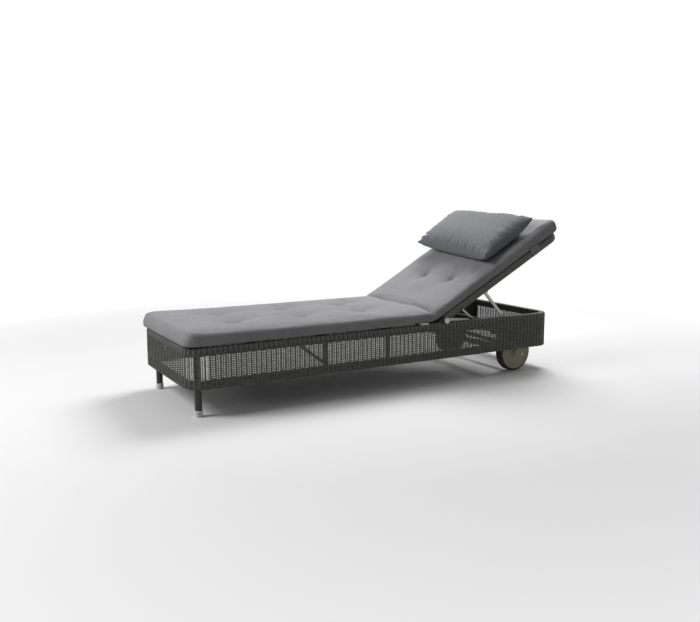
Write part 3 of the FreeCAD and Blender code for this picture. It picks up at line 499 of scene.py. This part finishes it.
@dataclass
class Weave:
    """A flat woven sheet with bold ribs in front, drawn as length, thickness and height, then bent."""

    length: float
    height: float
    rib_height: float = 0.0
    rib_width: float = 0.0072
    rib_thickness: float = 0.0026
    rib_front: float = 0.0041
    rib_round: float = 0.002
    stake_width: float = 0.0032
    stake_thickness: float = 0.0014
    strand_pitch: float = 0.0048
    strand_height: float = 0.0037
    strand_thickness: float = 0.0012
    steps: int = 4

    def ribs(self, mesh: Mesh, count: int, pitch: float) -> None:
        """Add a count of ribs to an empty mesh, rounded in front, and the thin stakes between them."""
        tall = self.rib_height or self.height
        middle = self.rib_front - self.rib_thickness / 2
        size = (self.rib_width, self.rib_thickness, tall)
        rib = add_block(mesh, (pitch / 2, middle, tall / 2), size)
        front = [edge for edge in edges_along(rib, 2) if edge.verts[0].co.y > middle]
        round_edges(mesh, front, self.rib_round, segments=2)
        repeat(mesh, mesh.verts[:] + mesh.faces[:], (pitch, 0, 0), range(1, count))
        size = (self.stake_width, self.stake_thickness, self.height)
        stake = add_block(mesh, (pitch, 0, self.height / 2), size)
        repeat(mesh, stake + faces_at(stake), (pitch, 0, 0), range(1, count - 1))

    def strand(self, mesh: Mesh, level: float, phase: int, pitch: float) -> list:
        """Add a strand at a level, behind the ribs and before every second stake; return its geometry."""
        size = (self.length, self.strand_thickness, self.strand_height)
        verts = add_block(mesh, (self.length / 2, 0, level), size)
        cuts = round(self.length / pitch) * self.steps - 1
        bmesh.ops.subdivide_edges(mesh, edges=edges_along(verts, 0), cuts=cuts)
        half = self.strand_height / 2
        verts = [vertex for vertex in mesh.verts if abs(abs(vertex.co.z - level) - half) < TINY]
        reach = (self.strand_thickness + self.stake_thickness) / 2
        for vertex in verts:
            vertex.co.y += reach * cos(pi * (vertex.co.x / pitch + phase))
        return verts + faces_at(verts)

    def build(self) -> Mesh:
        """Weave the sheet: ribs and stakes, then strands in two phases."""
        mesh = bmesh.new()
        count = round(self.length / RIB_PITCH)
        pitch = self.length / count
        self.ribs(mesh, count, pitch)
        rows = round(self.height / self.strand_pitch)
        first = (self.height - (rows - 1) * self.strand_pitch) / 2
        for phase in (0, 1):
            master = self.strand(mesh, first + phase * self.strand_pitch, phase, pitch)
            repeat(mesh, master, (0, 0, self.strand_pitch), range(2, rows - phase, 2))
        return mesh


def inflate(obj: bpy.types.Object, pressure: float, cap: float, held: list[int], slack: float) -> None:
    """Fill a closed cloth form with air by cloth simulation, and keep the result in its mesh.

    Args:
        obj: the piece, already in the scene.
        pressure: outward force of the filling.
        cap: furthest that a point may move, in metres.
        held: vertices that the stitching or the frame holds still.
        slack: how much larger the cloth is cut than the form.
    """
    start = [vertex.co.copy() for vertex in obj.data.vertices]
    group = obj.vertex_groups.new(name="held")
    group.add(held, 1.0, "REPLACE")
    cloth = obj.modifiers.new("Filling", "CLOTH")
    cloth.settings.use_pressure = True
    cloth.settings.uniform_pressure_force = pressure
    cloth.settings.effector_weights.gravity = 0
    cloth.settings.vertex_group_mass = group.name
    cloth.settings.shrink_min = -slack
    cloth.settings.quality = 4
    scene = bpy.context.scene
    for step in range(1, SIMULATED_FRAMES + 1):
        scene.frame_set(step)
    filled = obj.evaluated_get(bpy.context.evaluated_depsgraph_get()).data
    ends = [vertex.co.copy() for vertex in filled.vertices]
    obj.modifiers.remove(cloth)
    obj.vertex_groups.remove(group)
    scene.frame_set(1)
    for vertex, begin, end in zip(obj.data.vertices, start, ends):
        move = end - begin
        vertex.co = begin + (move if move.length <= cap else move * (cap / move.length))


def soften(obj: bpy.types.Object) -> None:
    """Smooth a cushion's mesh by one level of subdivision, and keep the result in it."""
    smooth = obj.modifiers.new("Soft", "SUBSURF")
    smooth.levels = smooth.render_levels = 1
    bpy.context.view_layer.update()
    soft = bpy.data.meshes.new_from_object(obj.evaluated_get(bpy.context.evaluated_depsgraph_get()))
    obj.modifiers.clear()
    obj.data = soft


# Sub-assemblies

@dataclass
class WovenBase:
    """Woven walls of the base, the wound top rail and the woven seat deck."""

    layout: Layout
    corner: float = 0.082
    sheet_inset: float = 0.0018
    rib_top: float = 0.144
    sheet_rise: float = 0.004
    side_strand: float = 0.0037
    end_strand: float = 0.0030
    band: float = 0.0365
    band_outer: float = -0.0024
    band_inner: float = 0.0288
    band_rise: float = 0.0005
    collar_gap: float = 0.0042
    collar_round: float = 0.0110
    collar_rim: float = 0.0066
    deck_gap: float = 0.003

    def side_place(self, side: Side) -> Place:
        """Where length, outward distance and height of a sheet go on a long side."""
        start = self.layout.centre_x - self.layout.half_length + self.corner
        face = self.layout.half_width - self.sheet_inset
        return lambda point: Vector((
            start + point.x, side.value * (face + point.y), self.layout.bottom + point.z))

    def end_place(self, end: End) -> Place:
        """Where length, outward distance and height of a sheet go on a short end and its two bends."""
        line = RoundEnd(0.0, self.corner, self.layout.half_width)
        start = self.layout.half_length - self.corner

        def place(point: Vector) -> Vector:
            x, y = line.at(point.x, point.y - self.sheet_inset)
            return Vector((self.layout.centre_x + end.value * (start + x), y, self.layout.bottom + point.z))
        return place

    def walls(self) -> list[tuple[str, float, float, Place]]:
        """Name, length, strand height and place of the four walls."""
        straight = 2 * (self.layout.half_length - self.corner)
        bent = RoundEnd(0.0, self.corner, self.layout.half_width).length
        sides = [(side.name.lower(), straight, self.side_strand, self.side_place(side)) for side in Side]
        ends = [(end.name.lower(), bent, self.end_strand, self.end_place(end)) for end in End]
        return sides + ends

    def wrap(self, length: float) -> Mesh:
        """Strand wound over a length of the top rail, drawn straight: one rounded collar per rib."""
        mesh = bmesh.new()
        turns = round(length / RIB_PITCH)
        pitch = length / turns
        top = self.layout.top - self.layout.bottom + self.band_rise
        middle = self.sheet_inset - (self.band_outer + self.band_inner) / 2
        size = (pitch - self.collar_gap, self.band_inner - self.band_outer, self.band)
        first = add_block(mesh, (pitch / 2, middle, top - self.band / 2), size)
        round_edges(mesh, edges_along(first, 0), self.collar_round, segments=4)
        rim = [edge for edge in mesh.edges if abs((edge.verts[1].co - edge.verts[0].co).x) < TINY]
        round_edges(mesh, rim, self.collar_rim, segments=2)
        repeat(mesh, mesh.verts[:] + mesh.faces[:], (pitch, 0, 0), range(1, turns))
        return mesh

    def deck(self) -> Mesh:
        """Woven seat deck, with its foot corners rounded off."""
        low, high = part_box("seat_panel")
        width = high.y - low.y
        mesh = Weave(width, high.x - low.x, strand_pitch=0.014, strand_height=0.0115).build()
        corner = self.corner - self.band_inner + self.deck_gap
        middle = (low.z + high.z) / 2

        def place(point: Vector) -> Vector:
            across, along = point.x - width / 2, point.z
            short = max(corner - along, 0.0)
            half = width / 2 - corner + sqrt(max(corner * corner - short * short, 0.0))
            return Vector((low.x + along, across * half / (width / 2), middle + point.y))
        shift_all(mesh, place)
        return mesh

    def build(self, shop: Workshop) -> None:
        """Make the woven pieces and set them on the base."""
        for name, length, strand, place in self.walls():
            sheet = Weave(length, self.rib_top + self.sheet_rise, self.rib_top, strand_height=strand).build()
            shift_all(sheet, place)
            skirt = shop.piece(f"skirt_weave_{name}", sheet, "woven_resin", smooth=False)
            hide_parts(f"woven_skirt_{name}")
            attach(skirt, "base")
            collars = self.wrap(length)
            shift_all(collars, place)
            rail = shop.piece(f"rail_wrap_{name}", collars, "wrapped_tube")
            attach(rail, "base")
        deck = shop.piece("seat_deck_weave", self.deck(), "woven_resin", smooth=False)
        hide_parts("seat_panel")
        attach(deck, "base")


@dataclass
class Backrest:
    """Wound tube, woven panel and ties of the backrest, drawn flat and raised to the rest angle."""

    layout: Layout
    rest_angle: float = 28.0
    tube_y: float = 0.3163
    tube_lift: float = 0.010
    tube_width: float = 0.030
    tube_height: float = 0.038
    tube_edge: float = 0.0138
    bend: float = 0.055
    side_length: float = 0.765
    wrap_pitch: float = 0.0115
    wrap_relief: float = 0.0014
    wrap_least: float = 0.0001
    wrap_steps: int = 4
    under_relief: float = 0.4
    plate_reach: float = 0.17
    wrap_start: float = 0.018
    panel_start: float = 0.022
    panel_end: float = 0.8045
    panel_half_width: float = 0.3008
    panel_level: float = 0.024
    strap_start: float = 0.622
    strap_width: float = 0.060
    strap_thickness: float = 0.0012
    strap_slack: float = 0.0022
    strap_under: float = 0.0010
    strap_rise: float = 0.012
    strap_lean: float = 0.004
    strap_end: float = 0.006
    strap_steps: int = 6
    strap_cuts: int = 7
    strap_ripple: float = 0.0008

    def raised(self, point: Vector) -> Vector:
        """Take a point of the flat backrest, measured from the hinge, to the shared frame."""
        turn = Matrix.Rotation(radians(-self.rest_angle), 3, "Y")
        return self.layout.hinge + turn @ point

    def wrapped_tube(self) -> Mesh:
        """Strand wound round the bent tube, with low ribs where the base lies close at the flat pose."""
        line = RoundEnd(self.side_length - self.wrap_start, self.bend, self.tube_y)
        total = line.length
        turns = round(total / self.wrap_pitch)
        mesh = bmesh.new()
        block = add_block(mesh, (total / 2, 0, 0), (total, self.tube_width, self.tube_height))
        round_edges(mesh, edges_along(block, 0), self.tube_edge, segments=4)
        cuts = turns * self.wrap_steps - 1
        bmesh.ops.subdivide_edges(mesh, edges=edges_along(mesh.verts[:], 0), cuts=cuts)
        for vertex in mesh.verts:
            rib = abs(sin(pi * vertex.co.x / total * turns))
            swell = 1 + (self.wrap_least + self.wrap_relief * sqrt(rib)) / (self.tube_width / 2)
            if vertex.co.y > 0 or min(vertex.co.x, total - vertex.co.x) > self.plate_reach:
                vertex.co.y *= swell
            vertex.co.z *= swell if vertex.co.z > 0 else 1 + self.under_relief * (swell - 1)
            x, y = line.at(vertex.co.x, vertex.co.y)
            vertex.co = self.raised(Vector((self.wrap_start + x, y, self.tube_lift + vertex.co.z)))
        return mesh

    def panel(self) -> Mesh:
        """Woven panel between the tubes."""
        width = 2 * self.panel_half_width
        mesh = Weave(
            width, self.panel_end - self.panel_start, strand_pitch=0.007, strand_height=0.0053).build()
        shift_all(mesh, lambda point: self.raised(Vector((
            self.panel_start + point.z, point.x - width / 2, self.panel_level + point.y))))
        return mesh

    def strap_line(self) -> list[Vector]:
        """Section of a tie round the tube: from under the mattress, down the outside and in beneath."""
        half_width = self.tube_width / 2 + self.strap_slack
        half_height = self.tube_height / 2 + self.strap_under
        edge = self.tube_edge + self.strap_slack
        line = [
            Vector((half_width - self.strap_lean, half_height + self.strap_rise)),
            Vector((half_width, half_height - self.strap_rise)),
        ]
        for step in range(self.strap_steps + 1):
            turn = pi / 2 * step / self.strap_steps
            line.append(Vector((
                half_width - edge + edge * cos(turn), edge - half_height - edge * sin(turn))))
        return line + [Vector((self.strap_end - half_width, -half_height))]

    def strap(self, side: Side) -> Mesh:
        """Fabric tie of one side."""
        mesh = bmesh.new()
        verts = [mesh.verts.new((self.strap_start, spot.x, spot.y)) for spot in self.strap_line()]
        edges = [mesh.edges.new(pair) for pair in zip(verts, verts[1:])]
        grown = bmesh.ops.extrude_edge_only(mesh, edges=edges)["geom"]
        bmesh.ops.translate(mesh, verts=only_verts(grown), vec=(self.strap_width, 0, 0))
        bmesh.ops.subdivide_edges(mesh, edges=edges_along(mesh.verts[:], 0), cuts=self.strap_cuts)
        for vertex in mesh.verts:
            ripple = noise.noise((vertex.co.x * 60, vertex.co.z * 25, 1.5))
            vertex.co.y += self.strap_ripple * ripple
        bmesh.ops.solidify(mesh, geom=mesh.faces[:], thickness=self.strap_thickness)
        shift_all(mesh, lambda point: self.raised(Vector((
            point.x, side.value * (self.tube_y + point.y), self.tube_lift + point.z))))
        return mesh

    def build(self, shop: Workshop) -> None:
        """Make the backrest's woven pieces and ties, and set them on the backrest."""
        tube = shop.piece("backrest_wrap", self.wrapped_tube(), "wrapped_tube")
        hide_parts("backrest_top_bar")
        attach(tube, "backrest")
        panel = shop.piece("backrest_weave", self.panel(), "woven_resin", smooth=False)
        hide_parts("backrest_panel")
        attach(panel, "backrest")
        line = self.strap_line()
        length = sum((after - before).length for before, after in zip(line, line[1:]))
        for side in Side:
            strap = shop.piece(f"tie_strap_{side.name.lower()}", self.strap(side), "strap_fabric")
            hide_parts("tie_straps")
            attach(strap, "backrest")


@dataclass
class Mattress:
    """One folding mattress: boxed, crowned, tufted, creased at the fold, resting on seat and backrest."""

    layout: Layout
    back: Backrest
    foot_overhang: float = 0.010
    seat_level: float = 0.3113
    back_level: float = 0.0293
    back_end: float = 0.860
    width: float = 0.650
    side: float = 0.046
    head_growth: float = 0.018
    foot_growth: float = 0.008
    foot_growth_reach: float = 0.2
    crown: float = 0.020
    crown_reach: float = 0.15
    back_crown: float = 0.5
    back_crown_reach: float = 0.15
    top_ripple: float = 0.0018
    rim_ease: float = 0.03
    bend_radius: float = 0.06
    plan_corner: float = 0.05
    side_round: float = 0.008
    end_round: float = 0.030
    round_ease: float = 0.06
    bottom_round: float = 0.008
    side_swell: float = 0.004
    side_pucker: float = 0.0012
    droop: float = 0.0075
    droop_reach: float = 0.03
    droop_end: float = 0.10
    droop_ease: float = 0.05
    pad_ease: float = 0.03
    # Height, distance in from the edge, and reach
    ridge: Triple = (0.006, 0.022, 0.018)
    trough: Triple = (0.004, 0.075, 0.035)
    roll_start: float = 0.15
    roll_ease: float = 0.3
    roll_end: float = 0.08
    roll_rim: float = 0.012
    fold_depth: float = 0.033
    fold_reach: float = 0.045
    fold_rim: float = 0.4
    fold_rim_reach: float = 0.08
    fold_pinch: float = 0.012
    pinch_reach: float = 0.012
    fold_held: float = 0.012
    fold_blend: float = 0.03
    # Number of rows, place of the first one, and pitch
    seat_tufts: tuple[int, float, float] = (3, 0.285, 0.328)
    back_tufts: tuple[int, float, float] = (2, 0.245, 0.325)
    tuft_y: float = 0.115
    tuft_depth: float = 0.024
    tuft_reach: float = 0.021
    tuft_limit: float = 0.3
    tuft_held: float = 0.013
    tuft_hollow: float = 0.009
    hollow_reach: float = 0.09
    row_valley: float = 0.011
    row_width: float = 0.026
    row_length: float = 0.15
    back_valley: float = 0.35
    cross_valley: float = 0.007
    cross_width: float = 0.03
    cross_length: float = 0.075
    crease: float = 0.007
    crease_width: float = 0.009
    crease_length: float = 0.075
    spacing: float = 0.0085

    def __post_init__(self) -> None:
        """Work out where the bottom bends, how long the mattress is and where its tufts are."""
        turn = self.turn = radians(self.back.rest_angle)
        hinge = self.layout.hinge
        self.kink_u = (self.seat_level - hinge.z - self.back_level * cos(turn)) / sin(turn)
        self.fold_x = hinge.x - self.back_level * sin(turn) + self.kink_u * cos(turn)
        self.foot_x = self.layout.centre_x - self.layout.half_length - self.foot_overhang
        self.fold_along = self.fold_x - self.foot_x
        self.hinge_along = self.fold_along - self.kink_u
        self.length = self.fold_along + self.back_end - self.kink_u
        pads_low, pads_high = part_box("rail_pads")
        self.pads = (pads_low.x - self.foot_x, pads_high.x - self.foot_x)
        count, first, pitch = self.seat_tufts
        seat = [first + pitch * step for step in range(count)]
        count, first, pitch = self.back_tufts
        back = [self.hinge_along + first + pitch * step for step in range(count)]
        self.tufts = [(along, across) for along in seat + back for across in (-self.tuft_y, self.tuft_y)]

    def side_height(self, along: float) -> float:
        """Height of the side at a distance from the foot end."""
        up = along - self.fold_along
        growth = self.head_growth * smooth_step(up / (self.length - self.fold_along))
        return self.side + growth + self.foot_growth * exp(-along / self.foot_growth_reach)

    def rim(self, along: float, across: float) -> float:
        """How far inside the outline a point of the unrounded box is."""
        return min(along, self.length - along, self.width / 2 - abs(across))

    def dip(self, along: float, across: float) -> float:
        """How far the tufts pull the top down at a point."""
        drop = 0.0
        for tuft_along, tuft_across in self.tufts:
            da, db = along - tuft_along, across - tuft_across
            away = hypot(da, db)
            if away > self.tuft_limit:
                continue
            drop += self.tuft_depth * exp(-away / self.tuft_reach)
            drop += self.tuft_hollow * exp(-((away / self.hollow_reach) ** 2))
            valley = self.row_valley * (1.0 if tuft_along < self.fold_along else self.back_valley)
            drop += valley * exp(-abs(db) / self.row_width - (da / self.row_length) ** 4)
            drop += self.cross_valley * exp(-((da / self.cross_width) ** 2) - (db / self.cross_length) ** 4)
            drop += self.crease * exp(-abs(db) / self.crease_width - (da / self.crease_length) ** 2)
        return drop

    def fold_dip(self, along: float, inside: float) -> float:
        """How far the fold pulls the top down, least at the rim."""
        away = abs(along - self.fold_along) / self.fold_reach
        if away >= 1:
            return 0.0
        share = self.fold_rim + (1 - self.fold_rim) * smooth_step(inside / self.fold_rim_reach)
        return self.fold_depth * share * (1 - sqrt(1 - (1 - away) ** 2))

    def sag(self, along: float, inside: float) -> float:
        """How far the rim of the seat part hangs below the deck, clear of the rail pads."""
        on_seat = smooth_step((self.fold_along - self.droop_end - along) / self.droop_ease)
        start, end = self.pads
        clear = smooth_step(max(start - along, along - end) / self.pad_ease)
        return self.droop * on_seat * clear * max(0.0, 1 - inside / self.droop_reach) ** 2

    def roll(self, along: float, across: float, inside: float) -> float:
        """Rolled edge along the sides of the back part, with a shallow trough behind it."""
        up = along - self.fold_along
        strength = smooth_step((up - self.roll_start) / self.roll_ease)
        strength *= smooth_step((self.length - along) / self.roll_end)
        edge = self.width / 2 - abs(across)
        rise = bump(edge, *self.ridge) - bump(edge, *self.trough)
        return strength * rise * smooth_step(inside / self.roll_rim)

    def plan(self, a: float, b: float) -> tuple[float, float]:
        """Round the corners of the outline, seen from above, from distances to the middle."""
        half_length, half_width = self.length / 2, self.width / 2
        da = abs(a) - (half_length - self.plan_corner)
        db = abs(b) - (half_width - self.plan_corner)
        if da > 0 and db > 0:
            keep = max(da, db) / hypot(da, db)
            a = copysign(half_length - self.plan_corner + da * keep, a)
            b = copysign(half_width - self.plan_corner + db * keep, b)
        return a + half_length, b

    def bent(self, along: float, across: float, rise: float) -> Vector:
        """Bend the straight mattress over the hinge."""
        turn, radius = self.turn, self.bend_radius
        run = along - self.fold_along + radius * turn / 2
        angle = min(max(run / radius, 0.0), turn)
        before, after = min(run, 0.0), max(run - radius * turn, 0.0)
        start = self.fold_x - radius * tan(turn / 2)
        x = start + before + (radius - rise) * sin(angle) + after * cos(turn)
        z = self.seat_level + radius - (radius - rise) * cos(angle) + after * sin(turn)
        return Vector((x, across, z))

    def top_level(self, along: float, across: float, inside: float) -> float:
        """Height of the crowned top above the bottom, before tufts and fold."""
        ease = 1 - (1 - min(1.0, inside / self.crown_reach)) ** 2
        on_back = smooth_step((along - self.fold_along) / self.back_crown_reach)
        crown = self.crown * (1 - (1 - self.back_crown) * on_back)
        return self.side_height(along) + crown * ease + self.roll(along, across, inside)

    def shaped(self, along: float, across: float, rise: float) -> Vector:
        """Round, crown, tuft and bend one point of the box, and take it to the shared frame."""
        inside = self.rim(along, across)
        depth, level = inside, rise
        to_end, to_side = min(along, self.length - along), self.width / 2 - abs(across)
        endness = smooth_step((to_side - to_end) / self.round_ease + 0.5)
        top_round = self.side_round + (self.end_round - self.side_round) * endness
        for edge, radius in ((self.side, top_round), (0.0, self.bottom_round)):
            reach, inner = radius - abs(rise - edge), radius - inside
            if reach > 0 and inner > 0:
                keep = max(reach, inner) / hypot(reach, inner)
                depth = radius - inner * keep
                level = abs(edge - (radius - reach * keep))
        pull = depth - inside
        a, b = along - self.length / 2, across
        if to_side <= to_end:
            b = copysign(abs(b) - pull, b)
        if to_end <= to_side:
            a = copysign(abs(a) - pull, a)
        along, across = self.plan(a, b)
        near_fold = exp(-abs(along - self.fold_along) / self.pinch_reach)
        across *= 1 - self.fold_pinch / (self.width / 2) * near_fold
        part = level / self.side
        tall = self.side_height(along)
        if rise > self.side - TINY:
            tall = self.top_level(along, across, inside)
            ripple = self.top_ripple * noise.noise((along * 8, across * 10, 0.3))
            tall += (ripple - self.dip(along, across)) * smooth_step(inside / self.rim_ease)
        elif rise > TINY:
            swell = sin(pi * min(max(part, 0.0), 1.0))
            pucker = noise.noise((along * 16, across * 3, 4.0))
            across *= 1 + (self.side_swell * swell + self.side_pucker * pucker * swell) / (self.width / 2)
        height = part * tall - self.fold_dip(along, inside) * part - self.sag(along, inside) * (1 - part)
        return self.bent(along, across, height)

    def form(self) -> tuple[Mesh, list[int]]:
        """The mattress before it is filled, and the vertices that frame, tufts and fold hold."""
        mesh = bmesh.new()
        sizes = (self.length, self.width, self.side)
        add_block(mesh, (self.length / 2, 0, self.side / 2), sizes)
        divide(mesh, sizes, self.spacing)
        mesh.verts.index_update()
        held = []
        for vertex in mesh.verts:
            along, across, rise = vertex.co
            tufted = any(hypot(along - a, across - b) < self.tuft_held for a, b in self.tufts)
            folded = abs(along - self.fold_along) < self.fold_held
            if rise < TINY or self.rim(along, across) < TINY or tufted or folded:
                held.append(vertex.index)
            vertex.co = self.shaped(along, across, rise)
        return mesh, held

    def build(self, shop: Workshop) -> None:
        """Make, fill and soften the mattress where it lies over seat and backrest, and bake it in place."""
        mesh, held = self.form()
        piece = shop.piece("mattress", mesh, "mattress_fabric")
        inflate(piece, pressure=1.0, cap=0.0025, held=held, slack=0.004)
        soften(piece)
        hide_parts("seat_cushion", "back_cushion")
        turn, reach = self.turn, self.fold_blend
        start = (self.fold_x - reach, 0.0, self.seat_level)
        end = (self.fold_x + reach * cos(turn), 0.0, self.seat_level + reach * sin(turn))
        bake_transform(piece)


@dataclass
class HeadPillow:
    """Head pillow on the backrest: two sheets gathered into a seam all round, lying a little askew."""

    back: Backrest
    mattress: Mattress
    middle: Triple = (0.549, 0.004, 0.167)
    depth: float = 0.346
    width: float = 0.632
    skew: float = 0.016
    taper: float = 0.0125
    roll: float = 0.009
    pitch: float = 0.010
    loft: float = 0.046
    belly: float = 0.070
    front_fullness: float = 2.4
    back_fullness: float = 4.0
    seam: float = 0.004
    gather: float = 0.013
    gather_pitch: float = 0.013
    gather_reach: float = 0.024
    gather_ease: float = 0.010
    under_gather: float = 0.6
    end_fullness: float = 3.0
    front_pull: float = 0.05
    end_pull: float = 0.035
    front_sink: float = 0.018
    clearance: float = 0.005
    spacing: float = 0.0065

    def form(self) -> Mesh:
        """The pillow before it is filled."""
        mesh = bmesh.new()
        add_block(mesh, (0, 0, 0), (self.depth, self.width, self.seam))
        divide(mesh, (self.depth, self.width), self.spacing)
        shift_all(mesh, lambda point: self.back.raised(self.shaped(*point)))
        return mesh

    def gathers(self, a: float, b: float, along: float, across: float) -> float:
        """Height of the puckers that run in from the seam."""
        total = 0.0
        ways = (
            ((1 - abs(a)) * self.depth / 2, across, copysign(1.7, a)),
            ((1 - abs(b)) * self.width / 2, along, copysign(5.1, b)),
        )
        for away, run, seed in ways:
            fold = noise.noise((run / self.gather_pitch, away * 9, seed))
            reach = self.gather_reach * (1.1 + noise.noise((run * 12, seed, 7.0)))
            total += 2 * fold * exp(-away / reach) * min(1.0, away / self.gather_ease)
        return total * self.gather

    def shaped(self, along: float, across: float, rise: float) -> Vector:
        """Puff, gather and settle one point of the flat pillow, as a point of the flat backrest."""
        a, b = along / (self.depth / 2), across / (self.width / 2)
        fullness = self.back_fullness if a > 0 else self.front_fullness
        fill = sqrt(max(0.0, 1 - abs(a) ** fullness) * max(0.0, 1 - abs(b) ** self.end_fullness))
        corner = (abs(a) * abs(b)) ** 4
        pull_a = 1 - self.front_pull * (1 - b * b) * abs(a) ** 3
        pull_b = 1 - self.end_pull * (1 - a * a) * abs(b) ** 3
        u = self.middle[0] + self.skew * b + a * (self.depth / 2 - self.taper * b) * pull_a
        y = self.middle[1] + across * pull_b
        sink = self.front_sink * (1 - b * b) * abs(a) ** 3 * (a < 0)
        seam = self.middle[2] + self.roll * b + self.pitch * a - sink
        pucker = self.gathers(a, b, along, across) * (1 - corner)
        if rise > 0:
            level = seam + self.loft * fill + pucker
        else:
            bed = self.mattress
            inside = max(bed.rim(bed.hinge_along + u, y), 0.0)
            rest = bed.back_level + bed.top_level(bed.hinge_along + u, y, inside)
            under = seam - self.belly * fill - self.under_gather * pucker
            level = max(under, min(rest + self.clearance, seam))
        return Vector((u, y, level + rise))

    def build(self, shop: Workshop) -> None:
        """Make the pillow and set it on the backrest."""
        piece = shop.piece("pillow", self.form(), "pillow_fabric")
        inflate(piece, pressure=1.5, cap=0.006, held=[], slack=0.02)
        soften(piece)
        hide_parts("head_pillow")
        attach(piece, "backrest")


@dataclass
class Studio:
    """Pale floor, soft light and the camera at the photograph's angle."""

    layout: Layout
    eye: Triple = (-1.9946, -3.3366, 0.938)
    yaw: float = 59.7385
    pitch: float = 8.7344
    lens: float = 40.121
    sensor: float = 36.0
    floor_size: float = 60.0
    fade_start: float = 1.5
    fade_length: float = 1.6
    pale: Colour = (248, 248, 248)
    bounce: Colour = (150, 150, 150)
    fill_light: float = 0.16
    target: Triple = (0, 0, 0.3)

    def camera(self) -> None:
        """Set the camera where the photograph was taken from."""
        data = bpy.data.cameras.new("photo_camera")
        data.lens = self.lens
        data.sensor_width = self.sensor
        data.sensor_fit = "HORIZONTAL"
        camera = into_scene("photo_camera", data)
        yaw, pitch = radians(self.yaw), radians(self.pitch)
        forward = Vector((cos(yaw) * cos(pitch), sin(yaw) * cos(pitch), -sin(pitch)))
        camera.location = Vector(self.eye) + Vector((self.layout.centre_x, 0, 0))
        camera.rotation_euler = forward.to_track_quat("-Z", "Y").to_euler()
        bpy.context.scene.camera = camera

    def lamp(self, name: str, place: Triple, size: float, power: float) -> None:
        """Add a soft square lamp that faces the lounger."""
        data = bpy.data.lights.new(name, "AREA")
        data.size = size
        data.energy = power
        lamp = into_scene(name, data)
        lamp.location = place
        aim = Vector(self.target) - Vector(place)
        lamp.rotation_euler = aim.to_track_quat("-Z", "Y").to_euler()

    def seen(self, tree: bpy.types.NodeTree) -> Signal:
        """1 where the camera sees a surface directly or in a mirror, 0 for light that falls on the object."""
        path = tree.nodes.new("ShaderNodeLightPath")
        direct = Signal(tree, path.outputs["Is Camera Ray"])
        return (direct + Signal(tree, path.outputs["Is Glossy Ray"])).clamped()

    def floor(self) -> None:
        """Add the pale floor, which fades to white far from the lounger where the camera sees it."""
        mesh = bmesh.new()
        bmesh.ops.create_grid(mesh, x_segments=1, y_segments=1, size=self.floor_size / 2)
        data = bpy.data.meshes.new("floor")
        mesh.to_mesh(data)
        mesh.free()
        obj = into_scene("floor", data)
        paint = Paint("floor")
        tone = paint.noise(3)
        seen = self.seen(paint.tree)
        colour = paint.tint(seen * 0.95 + tone * 0.05, self.bounce, self.pale)
        data.materials.append(paint.finish(colour, 0.8, tone, 0.0002))
        away = (paint.axis("X").power(2) + paint.axis("Y").power(2)).power(0.5)
        fade = ((away - self.fade_start) * (1 / self.fade_length)).clamped() * seen
        white = paint.node("ShaderNodeEmission", sockets={"Color": WHITE, "Strength": 1.0})
        mix = paint.node("ShaderNodeMixShader", sockets={
            0: fade, 1: paint.shader.outputs["BSDF"], 2: white.outputs["Emission"]})
        paint.feed(paint.tree.nodes["Material Output"].inputs["Surface"], mix.outputs["Shader"])

    def sky(self) -> None:
        """Even pale light from all round, white where the camera sees it."""
        world = bpy.data.worlds.new("studio")
        world.use_nodes = True
        bpy.context.scene.world = world
        tree = world.node_tree
        background = tree.nodes["Background"]
        background.inputs["Color"].default_value = WHITE
        strength = self.fill_light + (1 - self.fill_light) * self.seen(tree)
        tree.links.new(strength.socket, background.inputs["Strength"])

    def build(self) -> None:
        """Set up floor, light and camera."""
        self.floor()
        self.sky()
        self.lamp("key", place=(-3.7, 0.3, 2.9), size=1.6, power=94)
        self.lamp("top", place=(1.9, 1.3, 3.3), size=2.0, power=126)
        self.camera()
        bpy.context.scene.view_settings.view_transform = "Standard"


def main() -> None:
    """Build every sub-assembly in order."""
    logging.basicConfig(level=logging.INFO, format="%(name)s %(message)s")
    layout = Layout.of_frame()
    shop = Workshop()
    shop.dress_frame()
    WovenBase(layout).build(shop)
    back = Backrest(layout)
    back.build(shop)
    mattress = Mattress(layout, back)
    mattress.build(shop)
    HeadPillow(back, mattress).build(shop)
    Studio(layout).build()


if __name__ == "__main__":
    main()
